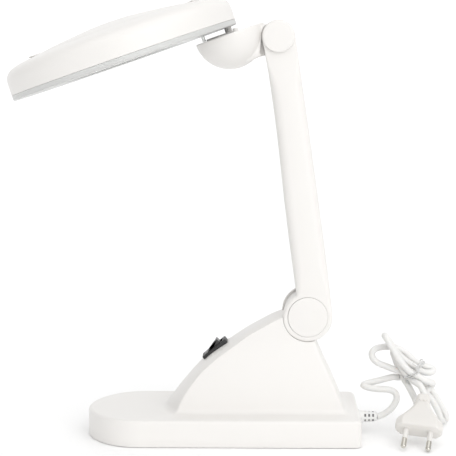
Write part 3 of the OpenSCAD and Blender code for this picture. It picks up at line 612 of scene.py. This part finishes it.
# knot on the side towards the front and top, with two curled ends
top = max(fine_loop, key=lambda p: -0.75 * p.x + p.y * (1 if VT.z > 0 else -1))
K = TIE_AT + UT * top.x + VT * top.y
turns = [K + Vector((0.3 * math.sin(t * 2.2), -1.2 - 0.16 * t, 0.55 * t)) + Vector((math.cos(t * 3.1), 0.4 * math.sin(t * 2.0), math.sin(t * 3.1))) * 0.75 for t in [k * 0.18 for k in range(40)]]
wraps.append(tube("w", turns, 0.42))
for s in (-1, 1):
    ends = [turns[-1] + Vector((s * (0.9 * k * 0.42) + 0.5 * math.sin(k * 0.9), -0.25 * k, 0.62 * k - 0.02 * k * k)) for k in [j * 0.5 for j in range(18)]]
    wraps.append(tube("w", ends, 0.36))
tie = join("twist_tie", wraps, 60)
dress(tie, TIEMAT, "base", "tie_clear", "cord_tie")

# ------------------------------------------------------------------ strain relief: tapered sleeve with three rows of slots
M_REL = Matrix.Translation((0, 0, 12.2)) @ Matrix.Rotation(D(90), 4, "Y")
x1 = 124.8
rel = lathe("relief_sleeve", [(2.55, x1 - 5.4), (5.6, x1 - 5.4), (5.6, x1 - 2.5), (4.5, x1 - 2.4), (4.5, x1 + 0.1), (5.3, x1 + 0.15), (5.45, x1 + 0.5), (5.3, x1 + 1.0), (4.75, x1 + 1.3),
                             (4.45, x1 + 3.4), (4.25, x1 + 5), (4.05, x1 + 9), (3.8, x1 + 12.5), (3.75, x1 + 13.4), (3.55, x1 + 14.2), (3.1, x1 + 14.6), (2.55, x1 + 14.6)], M_REL, 72)
cut = []
for k in range(3):
    for q in (-115, -52, 52, 115, 180):
        R = Matrix.Rotation(D(q), 4, "Z")
        cut.append(box("c", (2.9, -1.15, x1 + 4.7 + k * 3.0), (6.5, 1.15, x1 + 6.2 + k * 3.0), M_REL @ R, 0.3, 2))
cutter = join("cutter", cut)
boolean(rel, [cutter])
dress(rel, RELIEFMAT, "base", "cord_white", "strain_relief")
# the faces inside the slots take the dark grey: painted shade in place of the slots' own shadow
rel.data.materials.append(SLOT_PAINTED_SHADE)
for f in rel.data.polygons:
    c = f.center * 1000
    if x1 + 4.4 < c.x < x1 + 12.6 and math.hypot(c.y, c.z - 12.2) < 3.64:
        f.material_index = 1

# ------------------------------------------------------------------ base: plate and stand in one moulding
X0, HW, WALL = x1 - 206, 51.0, 2.4


def arc(c, r, a, b, n):
    return [(c[0] + r * math.cos(D(a + (b - a) * k / n)), c[1] + r * math.sin(D(a + (b - a) * k / n))) for k in range(n + 1)]


def plan(i):
    cf = X0 + 58
    k = HW - 35
    cc = cf - math.sqrt(23 * 23 - k * k)
    t = math.degrees(math.atan2(k, cf - cc))
    return (arc((cf, 0), 58 - i, 180 - t, 180 + t, 48) + arc((cc, -k), 35 - i, 180 + t + 1.5, 270, 18)
            + arc((x1 - 6, 6 - HW), 6 - i, 270, 360, 10) + arc((x1 - 6, HW - 6), 6 - i, 0, 90, 10)
            + arc((cc, k), 35 - i, 90, 180 - t - 1.5, 18))


def level(i, z):
    return [(x, y, z) for x, y in plan(i)]


R_TOP = 2.6
rings = [level(WALL + 4, ZT - WALL), level(WALL, ZT - WALL), level(WALL, Z0 + 0.4), level(WALL - 0.4, Z0), level(1.2, ZB), level(0.6, ZB), level(0.2, ZB + 0.18), level(0, ZB + 0.6)]
rings += [level(0, Z0 + 6), level(0, ZT - R_TOP)]
rings += [level(R_TOP * (1 - math.cos(t)), ZT - R_TOP + R_TOP * math.sin(t)) for t in arange(12, 90, 6)]
rings += [level(R_TOP + 0.6, ZT)]
plate = stack("base_moulding", rings, ID, 32)

STAND = [[-2.5, -14.3, -23.4, 115.6], [0, -13.2, -22.2, 114.5], [4.5, -11.6, -19.9, 112.5], [9.5, -9.4, -16.2, 110.5], [16.5, -5.3, -10.9, 107.6],
         [24.5, 0.6, -4.3, 104.2], [30.5, 5.5, 1.1, 101.4], [35.5, 10.8, 5.6, 99.0], [40.5, 16.7, 10.7, 96.8], [46.5, 25.0, 18.8, 94.3], [52, 32.4, 27.6, 92.1],
         [56.5, 38.4, 34.8, 90.4], [63.5, 50.2, 46.7, 88.0], [69.5, 61.6, 58.4, 86.0], [72.8, 69.4, 67.2, 84.2]]


def stand_ring(h, off=0.0):
    a, b, c = (interp(STAND, max(h, 0.0), k) for k in (1, 2, 3))
    a, b, c = a - off, b - off, c + off
    w = 28.5 - 9.5 * max(0, h) / 73 + off
    n = 24
    nose = [(a + (b - a) * (1 - (2 * j / n - 1) ** 2), w * (2 * j / n - 1)) for j in range(n + 1)]
    poly = nose + [(c, w), (c, -w)]
    rad = [3.4] + [0] * (n - 1) + [3.4, 3.2, 3.2]
    return [(x, y, ZT + h) for x, y in fillet(poly, rad, 6)]


FL = 3.6
levels = [(-1.0, FL), (-0.02, FL)] + [(FL * (1 - math.cos(t)), FL * (1 - math.sin(t))) for t in arange(8, 90, 8)]
h = FL
while h < 69.5:
    h += 2.4
    levels.append((min(h, 69.8), 0.0))
levels += [(71.2, 0.0), (72.0, -0.25), (72.5, -0.7), (72.8, -1.5)]
stand = stack("stand", [stand_ring(*q) for q in levels], ID, 32)
lug = drum("lug", 17, -11, 11, M_P1, 128, 0.5)
boolean(stand, [lug], "UNION")
for s in (-1, 1):
    boolean(stand, [drum("r", 18.62, min(s * 11.0, s * 41), max(s * 11.0, s * 41), M_P1, 128)])
boolean(stand, [box("sw", (-9.7, -6.6, -20), (9.7, 6.6, 12), M_SWITCH)])
bevel(stand, 0.45, 2, 38)
boolean(plate, [stand], "UNION", 30)
for s in (-1,):
    boolean(plate, [rod("gl", 5.0, 10, 14, Matrix.Translation((x1 - 12, 0, 12.2)) @ Matrix.Rotation(D(90), 4, "Y"), 48)])
dress(plate, WHITE, "base", "white_plastic", "base_housing")

# bottom cover: a flat sheet moulding with a raised stiffening rim and screw wells
rings = [level(WALL + 3.2, Z0 + 2.2), level(WALL + 0.35, Z0 + 2.2), level(WALL + 0.35, Z0 + 0.7), level(WALL + 0.6, Z0 + 0.35), level(WALL + 3.0, Z0 + 0.3), level(WALL + 3.4, Z0 + 0.55), level(WALL + 5.2, Z0 + 0.55)]
cover = stack("base_cover", rings, ID, 32)
SCREWS = [(-60, 26), (-60, -26), (28, 41), (28, -41), (114, 27), (114, -27)]
wells = join("wells", [rod("w", 3.2, -1, Z0 + 1.4, Matrix.Translation((x, y, 0)), 40) for x, y in SCREWS])
boolean(cover, [wells])
vents = join("vents", [box("v", (38 + k * 6, -14, -1), (40.4 + k * 6, 14, 5), ID, 1.1, 3) for k in range(9)])
boolean(cover, [vents])
dress(cover, WHITE2, "base", "shaded_plastic", "bottom_cover")

feet = []
for x in (-27, 107):
    for s in (-1, 1):
        o = [(9 + 4.5 * math.cos(t), 4.5 * math.sin(t)) for t in arange(-90, 90, 10)] + [(-9 + 4.5 * math.cos(t), 4.5 * math.sin(t)) for t in arange(90, 270, 10)]
        feet.append(prism("f", o, 0.0, Z0 + 0.6, Matrix.Translation((x, s * 42, 0)), 0.45))
dress(join("rubber_pads", feet, 40), RUBBER, "base", "rubber", "rubber_feet")

# ------------------------------------------------------------------ switch
out_o = fillet([(-11.1, -7.6), (11.1, -7.6), (11.1, 7.6), (-11.1, 7.6)], 1.6, 5)
bez = prism("switch_frame", out_o, -1.2, 3.1, M_SWITCH, 0.7)
boolean(bez, [box("c", (-8.5, -5.6, -4), (8.5, 5.6, 6), M_SWITCH, 0.5, 2)])
boolean(bez, [box("c", (-12, -9, -3), (12, 9, -1.0), M_SWITCH)])
well = box("w", (-9.4, -6.2, -13), (9.4, 6.2, 1.0), M_SWITCH, 0.4, 2)
boolean(well, [box("c", (-8.5, -5.5, -7), (8.5, 5.5, 20), M_SWITCH)])
frame_sw = join("switch_case", [bez, well])
dress(frame_sw, BLACK2, "base", "black_plastic", "switch_body")
M_ROCK = M_SWITCH @ Matrix.Translation((0, 0, -1.2)) @ Matrix.Rotation(D(-14), 4, "Y")
prof = [(-7.4, 6.3), (-6.2, 6.15), (-4.6, 5.45), (-2.5, 4.85), (0, 4.6), (2.5, 4.85), (4.6, 5.45), (6.2, 6.15), (7.4, 6.3), (7.55, 5.6), (7.3, 1.6), (3, -3.8), (-3, -3.8), (-7.3, 1.6), (-7.55, 5.6)]
prof = fillet(prof, [0.5, 0, 0, 0, 0, 0, 0, 0, 0.5, 0.3, 0.8, 1.5, 1.5, 0.8, 0.3], 3)
rock = prism("rocker", prof, -5.3, 5.3, M_ROCK @ M_XZ, 0.45)
ribs = [box("r", (x - 0.22, -4.2, z - 0.1), (x + 0.22, 4.2, z + 0.22), M_ROCK, 0.15, 2) for x, z in ((-5.4, 5.78), (-4.4, 5.4), (5.4, 5.78), (4.4, 5.4))]
dress(join("rocker_key", [rock] + ribs), BLACK, "switch", "black_plastic", "switch_rocker")

# ------------------------------------------------------------------ arm shells
FRONT = [(17.3, -6.6), (30, -7.0), (75, -8.1), (150, -8.8), (185, -10.2), (200, -11.2), (208, -12.1)]
REAR = [(0, 18.5), (20, 18.45), (40, 18.2), (70, 17.4), (100, 16.5), (150, 14.9), (190, 13.2), (210, 12.3)]
CHEEK = 18.5


def depth(s):
    return 20.0 if s < 20 else max(15.0, 20 - 5 * (s - 20) / (ARM_L - 40))


def soft(s):
    """How far the rounding of the arm's edge reaches in from its outline."""
    if s < -4:
        return 0.9
    if s < 9:
        t = (s + 4) / 13
        return 0.9 + 2.6 * t * t * (3 - 2 * t)
    if s < 13:
        return 3.5
    if s < 42:
        t = (s - 13) / 29
        return 3.5 + 3.4 * t * t * (3 - 2 * t)
    if s < ARM_L - 42:
        return 6.9
    if s < ARM_L - 12:
        t = (s - (ARM_L - 42)) / 30
        return 6.9 - 6.1 * t * t * (3 - 2 * t)
    return 0.8


def outline():
    pts = []
    for k in range(61):                                    # lower disc
        a = D(-249 * k / 60)
        pts.append((CHEEK * math.cos(a), CHEEK * math.sin(a), "l"))
    for sv in [20, 22, 24, 27, 30, 34, 38, 43] + [50 + 8 * k for k in range(16)] + [176, 181, 186, 190, 194, 198, 202, 206]:
        pts.append((interp(FRONT, sv, 1), sv, "f"))
    for k in range(37):                                    # upper end
        a = D(180 - 180 * k / 36)
        pts.append((12.3 * math.cos(a), ARM_L + 12.3 * math.sin(a), "u"))
    for sv in [206, 202, 198, 194, 190, 186, 181, 176] + [170 - 8 * k for k in range(16)] + [43, 38, 34, 30, 27, 24, 22, 20, 15, 10, 5]:
        pts.append((interp(REAR, sv, 1), sv, "r"))
    return pts


OUT = outline()


def arm_ring(side, ang):
    """One ring of the rounded edge: ang 0 is the outline, 90 the flat face."""
    ring = []
    for x, s, kind in OUT:
        d = soft(s)
        i = d * (1 - math.cos(D(ang)))
        if kind == "l":
            q = (x * (CHEEK - i) / CHEEK, s * (CHEEK - i) / CHEEK)
        elif kind == "u":
            q = (x * (12.3 - i) / 12.3, ARM_L + (s - ARM_L) * (12.3 - i) / 12.3)
        else:
            q = (x + (i if kind == "f" else -i), s)
        dy = 0.80 * d
        ring.append((q[0], side * (depth(s) - dy + dy * math.sin(D(ang))), q[1]))
    return ring


def shell(name, side):
    rings = []
    for y, i in ((0.05, 0.35), (0.45, 0.0)):
        ring = []
        for x, s, kind in OUT:
            k = 1 - i / math.hypot(x, s if kind == "l" else s - ARM_L) if kind in "lu" else None
            q = (x * k, s * k) if kind == "l" else (x * k, ARM_L + (s - ARM_L) * k) if kind == "u" else (x + (i if kind == "f" else -i), s)
            ring.append((q[0], side * y, q[1]))
        rings.append(ring)
    rings += [arm_ring(side, a) for a in (0, 15, 30, 45, 60, 75, 90)]
    n = len(OUT)
    verts = [p for r in rings for p in r]
    faces = [(i * n + k, i * n + (k + 1) % n, (i + 1) * n + (k + 1) % n, (i + 1) * n + k) for i in range(len(rings) - 1) for k in range(n)]
    faces.append(tuple(range(n)))
    # the flat face, in three planes: round the disc, along the taper, and round the top
    base = (len(rings) - 1) * n
    f = [k for k, q in enumerate(OUT) if q[2] == "f"]
    r = [k for k, q in enumerate(OUT) if q[2] == "r"]
    fa, fb = next(k for k in f if OUT[k][1] == 20), next(k for k in f if OUT[k][1] == 190)
    rb, ra = next(k for k in r if OUT[k][1] == 190), next(k for k in r if OUT[k][1] == 20)
    faces.append(tuple(base + k for k in list(range(ra, n)) + list(range(0, fa + 1))))
    faces.append(tuple(base + k for k in list(range(fa, fb + 1)) + list(range(rb, ra + 1))))
    faces.append(tuple(base + k for k in range(fb, rb + 1)))
    ob = build(name, verts, faces, M_ARM, 34)
    cutters = [drum("c", 18.8, -12.15, 12.15, M_ARM, 128), box("c", (-30, -12.15, -30), (30, 12.15, 0), M_ARM),
               drum("c", 12.95, -8.05, 8.05, M_ARM @ Matrix.Translation((0, 0, ARM_L)), 96),
               box("c", (-30, -8.05, ARM_L - 22.5), (2, 8.05, ARM_L + 20), M_ARM), box("c", (-30, -8.05, ARM_L), (30, 8.05, ARM_L + 20), M_ARM),
               drum("c", 15.12, side * 14.9 if side > 0 else -26, 26 if side > 0 else -14.9, M_ARM, 128),
               drum("c", 9.3, 12.2 if side > 0 else -26, 26 if side > 0 else -12.2, M_ARM @ Matrix.Translation((0, 0, ARM_L)), 96)]
    if side > 0:
        for x, z in ((6, 44), (5, 88), (4, 132), (2.5, 172)):
            cutters.append(drum("c", 3.0, 11, 30, M_ARM @ Matrix.Translation((x, 0, z)), 40))
    boolean(ob, cutters, "DIFFERENCE", 34)
    bevel(ob, 0.3, 2, 42, 34)
    return ob


dress(shell("arm_half_near", -1), WHITE, "arm", "white_plastic", "arm_shell_near")
dress(shell("arm_half_far", 1), WHITE, "arm", "white_plastic", "arm_shell_far")


def cap(name, r, y0, y1, side, M, e, crown):
    """A hinge disc: flat with a slightly crowned face and a rounded rim."""
    p = [(0, y1 + crown), (r * 0.3, y1 + crown * 0.92), (r * 0.6, y1 + crown * 0.6), (r - 2.2 * e, y1 + crown * 0.12)]
    p += [(r - e + e * math.sin(t), y1 - e + e * math.cos(t)) for t in arange(15, 90, 5)]
    p += [(r, y0 + 0.2), (r - 0.2, y0), (0, y0)]
    return ycyl(name, [(a, side * b) for a, b in p], M, 128)


# the near cap sits a hair low and to the right in its seat, as the seam shows
dress(cap("hinge_disc_near", 14.95, 15.1, 20.15, -1, Matrix.Translation(P1 + Vector((0.08, 0, -0.08))), 0.35, 0.25), WHITE, "arm", "white_plastic", "lower_cap_near")
dress(cap("hinge_disc_far", 14.95, 15.1, 20.15, 1, M_P1, 0.35, 0.25), WHITE, "arm", "white_plastic", "lower_cap_far")
for s, nm in ((-1, "near"), (1, "far")):
    c1 = cap("c", 11.7, 15.04, 17.95, s, M_P2, 0.8, 0.25)
    c2 = cap("c", 9.1, 12.4, 15.1, s, M_P2, 0.2, 0.0)
    dress(join("top_disc_" + nm, [c1, c2]), WHITE, "arm", "white_plastic", "upper_cap_" + nm)

# ------------------------------------------------------------------ cup bracket
HX, HZ = 33.6, -13.7
cup = lathe("cup_bracket", [(0, -26.5)] + [(26.5 * math.sin(t), -26.5 * math.cos(t)) for t in arange(3, 90, 29)] + [(26.5, -0.4), (26.0, 0.0), (22.6, 0.0), (22.35, -0.25), (22.35, -2.6), (0, -2.6)], M_CUP, 128)
neck = prism("n", fillet([(4, -1.6), (27, -2.1), (31, -8), (25, -22), (15.5, -23.6), (4, -24.6)], [0, 2, 2, 2, 3, 0], 4), -13, 13, M_CUP @ M_XZ, 3.0)
neck2 = prism("n", fillet([(8, -1.8), (27, -2.1), (HX, -2.2), (HX + 8, HZ), (HX, HZ - 11.4), (15.5, -23.6), (7, -23.8)], [0, 1, 1, 1, 2, 2, 0], 4), -7, 7, M_CUP @ M_XZ, 0.8)
eye = drum("e", 11.5, -7, 7, M_CUP @ Matrix.Translation((HX, 0, HZ)), 128, 0.6)
cup = join("cup_bracket", [cup, neck, neck2, eye])
remesh(cup, 0.42, 7, 70)
cuts = []
for s in (-1, 1):
    H = M_CUP @ Matrix.Translation((HX, 0, HZ))
    cuts.append(drum("r", 12.75, 7 if s > 0 else -47, 47 if s > 0 else -7, H, 128))
    cuts.append(box("w", (-12.6, 7.3 if s > 0 else -43, -14), (8, 43 if s > 0 else -7.3, -3.4), H @ Matrix.Rotation(D(24.8), 4, "Y")))
    cuts.append(box("w", (-11.7, 7.6 if s > 0 else -40, -60), (20, 40 if s > 0 else -7.6, -10), H @ Matrix.Rotation(D(24.8), 4, "Y")))
boolean(cup, cuts, "DIFFERENCE", 50)
dress(cup, WHITE, "bracket", "white_plastic", "head_bracket")
bc = lathe("cup_lid", [(2.9, -2.45), (21.9, -2.45), (22.1, -2.2), (22.1, -0.3), (21.8, 0.0), (6.4, 0.0), (6.0, 0.35), (3.4, 0.35), (2.9, 0.1)], M_CUP, 128)
rest = prism("r", [(-4.9, -17.1)] + [(17.8 * math.cos(t), 17.8 * math.sin(t)) for t in (D(254 - 6 * k) for k in range(25))] + [(-4.9, 17.1)], -0.6, 1.3, M_CUP, 0.4)
tube = prism("t", [(-5.4, -11.6), (5.6, -11.6), (5.6, 11.6), (-5.4, 11.6)], -0.5, 1.3, M_CUP, 0.4)
boolean(tube, [rod("c", 6.9, -2, 9, M_CUP, 48)])
stops = [rod("s", 1.8, -0.5, 2.5, M_CUP @ Matrix.Translation((5.1, s * 18.9, 0)), 40, 0.3) for s in (-1, 1)]
cuts = join("cuts", [rod("c", 2.65, -0.95, 8, M_CUP @ Matrix.Translation((-2, s * 15, 0)), 40) for s in (-1, 1)])
boolean(bc, [cuts])
dress(join("cup_lid_parts", [bc, rest, tube] + stops), WHITE2, "bracket", "shaded_plastic", "bracket_cover")

# ------------------------------------------------------------------ head
crown = [(88.0, 4.15), (88.0, 9.0), (87.95, 13.0), (87.75, 15.2), (87.3, 17.0), (86.5, 18.8), (85.3, 20.3), (83.7, 21.6), (81.6, 22.7), (78.4, 23.7), (74.5, 24.45),
         (70.2, 25.1), (66, 25.7), (63.0, 26.15), (61.55, 26.3), (61.25, 26.1), (61.2, 25.7), (61.2, 24.25), (60.9, 24.2)]
inner = [(LR + 0.06, 24.2), (LR + 0.06, 15.25), (LR - 0.3, 15.1), (LR - 2.4, 15.1), (LR - 2.6, 14.9), (LR - 2.6, 13.4), (LR - 2.4, 13.2), (LR + 0.06, 13.2), (LR + 0.06, 4.15),
         (LR + 0.3, 4.06), (LR + 2.4, 4.06), (LR + 2.6, 4.3), (LR + 2.6, 21.8), (70, 21.8), (75, 21.4), (80.6, 20.2), (83.2, 18.2), (85.0, 15.4), (85.6, 12), (85.6, 4.3), (85.8, 4.06), (87.8, 4.06)]
head = lathe("head_shell", crown + inner, M_HEAD, 240, True, 34)
boolean(head, [box("t", (59, -6.3, 24.15), (68, 6.3, 34), M_HEAD)])
bits = [rod("b", 5.4, 0.0, 12, M_HEAD @ Matrix.Translation((SW, 0, 0)), 64, 0.4), box("b", (SW, -5.3, 4.1), (HR - 1.5, 5.3, 12), M_HEAD, 0.4, 2)]
SCREW_A = (70, 135, 180, -135, -70)
for a in SCREW_A:
    bits.append(rod("b", 3.2, 4.1, 20.4, M_HEAD @ Matrix.Rotation(D(a), 4, "Z") @ Matrix.Translation((82, 0, 0)), 32))
for s in (-1, 1):       # knuckles of the lid hinge, each on its foot
    bits.append(drum("k", 2.6, s * 9.3 - 3, s * 9.3 + 3, M_HEAD @ Matrix.Translation((64.5, 0, 27.2)), 48, 0.35))
    bits.append(box("k", (62.2, s * 9.3 - 2.95, 24.4), (66.9, s * 9.3 + 2.95, 27.2), M_HEAD, 0.5, 3))
head = join("head_shell", [head] + bits, 34)
dress(head, WHITE, "head", "white_plastic", "head_housing")

# translucent ring under the light: rounded rims, fine concentric steps on the inside
ring = [(LR - 2.6, 0.5), (LR - 2.3, 0.12), (LR - 1.9, 0.0)]
ring += [(86.6, 0.0)] + [(87.05 + 0.9 * math.sin(t), 0.95 - 0.95 * math.cos(t)) for t in arange(0, 90, 6)] + [(87.95, 3.7), (87.7, 3.98), (87.0, 4.0)]
r = 85.4
while r > LR + 4:
    ring += [(r, 4.0), (r - 0.55, 3.3), (r - 1.1, 4.0)]
    r -= 1.25
ring += [(LR + 2.7, 4.0), (LR - 2.3, 3.98), (LR - 2.6, 3.7)]
lc = lathe("light_ring", ring, M_HEAD, 240, True, 30)
holes = [rod("h", 5.6, -1, 7, M_HEAD @ Matrix.Translation((SW, 0, 0)), 48), rod("h", 1.55, -1, 7, M_HEAD @ Matrix.Translation((SW - 19.7, 0, 0)), 24)]
for a in SCREW_A:
    holes.append(rod("h", 2.7, -1, 2, M_HEAD @ Matrix.Rotation(D(a), 4, "Z") @ Matrix.Translation((82, 0, 0)), 32))
boolean(lc, [join("holes", holes)], "DIFFERENCE", 30)
dress(lc, CLEAR, "head", "clear_cover", "light_cover")

# lens: two spherical faces and a ground edge
SAG = 3.6
RS = (LR * LR + SAG * SAG) / (2 * SAG)
lens = [(0, 18.6 + SAG)] + [(LR * k / 40, 18.6 + SAG - RS + math.sqrt(RS * RS - (LR * k / 40) ** 2)) for k in range(1, 40)]
lens += [(LR - 0.25, 18.62), (LR - 0.03, 18.4), (LR - 0.03, 15.8), (LR - 0.25, 15.58)]
lens += [(LR * k / 40, 15.6 - SAG + RS - math.sqrt(RS * RS - (LR * k / 40) ** 2)) for k in range(39, 0, -1)] + [(0, 15.6 - SAG)]
dress(lathe("magnifier_lens", lens, M_HEAD, 192, True, 40), GLASS, "head", "lens_glass", "lens")
dress(lathe("lens_retainer", [(LR, 18.68), (LR, 21.2), (LR - 0.4, 21.6), (LR - 3.1, 21.6), (LR - 3.5, 21.3), (LR - 3.6, 20.9), (LR - 3.6, 19.5), (LR - 3.4, 19.27)], M_HEAD, 192), WHITE2, "head", "shaded_plastic", "lens_ring")

# lens cover: a shallow dome with a stepped rim, a finger lip and a hinge tongue
lid = [(0, 32.4), (8, 32.27), (16, 31.85), (24, 31.15), (32, 30.25), (39, 29.5), (46, 28.65), (52.5, 27.75), (56.6, 27.1), (57.3, 26.82), (57.7, 26.74), (58.2, 26.8), (59.6, 26.62), (60.4, 26.45), (60.75, 26.1), (60.8, 25.6),
       (60.8, 24.5), (60.6, 24.32), (57, 24.32), (52.5, 25.8), (39, 27.5), (26, 28.8), (13, 29.8), (0, 30.4)]
cov = lathe("lid", lid, M_HEAD, 200, True, 28)
lip = prism("l", fillet([(-66.5, -9), (-57, -9), (-57, 9), (-66.5, 9)], [3.0, 0.5, 0.5, 3.0], 6), 26.45, 27.45, M_HEAD, 0.4)
grips = [box("g", (-65.2 + k * 1.6, -6, 27.3), (-64.6 + k * 1.6, 6, 27.6), M_HEAD, 0.15, 2) for k in range(3)]
tongue = box("t", (58.3, -5.85, 24.9), (64.5, 5.85, 27.1), M_HEAD, 0.4, 2)
knuck = drum("k", 2.5, -5.85, 5.85, M_HEAD @ Matrix.Translation((64.5, 0, 27.2)), 48, 0.3)
dress(join("lens_lid", [cov, lip, tongue, knuck] + grips, 30), WHITE, "lid", "white_plastic", "lens_cover")

# ------------------------------------------------------------------ CAD nodes that stay
for node, m, w in (("ballast_plate", IRON, 0.6), ("ballast_screws", STEEL, 0.2), ("cover_screws", STEEL, 0.2), ("driver_board", BOARD, 0.0),
                   ("driver_board_screws", STEEL, 0.2), ("driver_parts", PARTS, 0.4), ("cord_clamp", WHITE2, 0.3), ("clamp_screws", STEEL, 0.2),
                   ("arm_screws", STEEL, 0.25), ("arm_lead", CORDMAT, 0.0), ("lower_pivot_bolt", ZINC, 0.3), ("lower_pivot_nut", ZINC, 0.3),
                   ("lower_spring_washer", STEEL, 0.1), ("lower_friction_washers", FIBRE, 0.1), ("upper_pivot_bolt", ZINC, 0.3), ("upper_pivot_nut", ZINC, 0.3),
                   ("upper_spring_washer", STEEL, 0.1), ("upper_friction_washers", FIBRE, 0.1), ("bracket_screws", STEEL, 0.2), ("swivel_pin", WHITE2, 0.2),
                   ("swivel_washer", WHITE2, 0.1), ("swivel_nut", ZINC, 0.3), ("stop_pin", ZINC, 0.15), ("light_cover_screws", STEEL, 0.2),
                   ("led_board", LIGHTBOARD, 0.1), ("led_board_screws", STEEL, 0.2), ("leds", LED, 0.25), ("lid_hinge_pin", STEEL, 0.2)):
    skin(node, m, w)

# ------------------------------------------------------------------ floor, light, colour
WORLD_LEFT, WORLD_RIGHT, WORLD_TOP, WORLD_BACK, KEY, TOP = 0.68, 0.65, 0.0, 1.12, 1.16, 1.10
floor = build("floor", [(-4000, -3000, 0), (4000, -3000, 0), (4000, 5000, 0), (-4000, 5000, 0)], [(0, 1, 2, 3)])
FLOOR = mat("floor_paint", (0.97, 0.97, 0.97), 0.65, grain=40, bump=0.0, vary=0.004)
floor.data.materials.append(FLOOR)
w = bpy.data.worlds.new("studio")
scene.world = w
w.use_nodes = True
WN, WL = w.node_tree.nodes, w.node_tree.links
bg = WN["Background"]


def wnode(op, a, b=None, c=None):
    n = WN.new("ShaderNodeMath")
    n.operation = op
    for i, v in enumerate((a, b, c)):
        if v is None:
            continue
        if hasattr(v, "type"):
            WL.new(v, n.inputs[i])
        else:
            n.inputs[i].default_value = v
    return n.outputs[0]


def ramp(v, lo, hi, a, b):
    n = WN.new("ShaderNodeMapRange")
    n.interpolation_type = "SMOOTHSTEP"
    WL.new(v, n.inputs["Value"])
    n.inputs["From Min"].default_value, n.inputs["From Max"].default_value = lo, hi
    n.inputs["To Min"].default_value, n.inputs["To Max"].default_value = a, b
    return n.outputs[0]


wc = WN.new("ShaderNodeTexCoord")
wx = WN.new("ShaderNodeSeparateXYZ")
WL.new(wc.outputs["Generated"], wx.inputs[0])
# a white sweep behind, open room to the left, softboxes in front, above and to the right
side = ramp(wx.outputs["X"], -0.5, 0.7, WORLD_LEFT, WORLD_RIGHT)
lit = wnode("ADD", side, ramp(wx.outputs["Z"], 0.3, 1.0, 0.0, WORLD_TOP))
back = ramp(wx.outputs["Y"], 0.45, 0.85, 0.0, 1.0)
door = wnode("MULTIPLY", ramp(wnode("ABSOLUTE", wnode("ADD", wx.outputs["X"], 0.10)), 0.10, 0.22, 1.0, 0.0), ramp(wx.outputs["Y"], -0.80, -0.55, 1.0, 0.0))
lit = wnode("MULTIPLY", lit, wnode("SUBTRACT", 1.0, wnode("MULTIPLY", door, 0.95)))
mixed = wnode("ADD", wnode("MULTIPLY", lit, wnode("SUBTRACT", 1.0, back)), wnode("MULTIPLY", back, WORLD_BACK))
WL.new(mixed, bg.inputs[1])
bg.inputs[0].default_value = (1.0, 1.0, 1.0, 1)


def sun(name, frm, power, angle, colour=(1, 1, 1)):
    l = bpy.data.lights.new(name, "SUN")
    l.energy, l.angle, l.color = power, D(angle), colour
    o = bpy.data.objects.new(name, l)
    o.rotation_mode = "QUATERNION"
    o.rotation_quaternion = (-Vector(frm)).to_track_quat("-Z", "Y")
    scene.collection.objects.link(o)
    return o


sun("key", (0.40, -1.0, 0.28), KEY, 60)
sun("top", (0.15, -0.38, 1.0), TOP, 90)
scene.view_settings.view_transform = "Standard"
scene.view_settings.look = "None"
scene.view_settings.exposure = 0.0
scene.view_settings.gamma = 1.0
scene.cycles.use_denoising = True
scene.cycles.max_bounces = 10
scene.cycles.transmission_bounces = 10
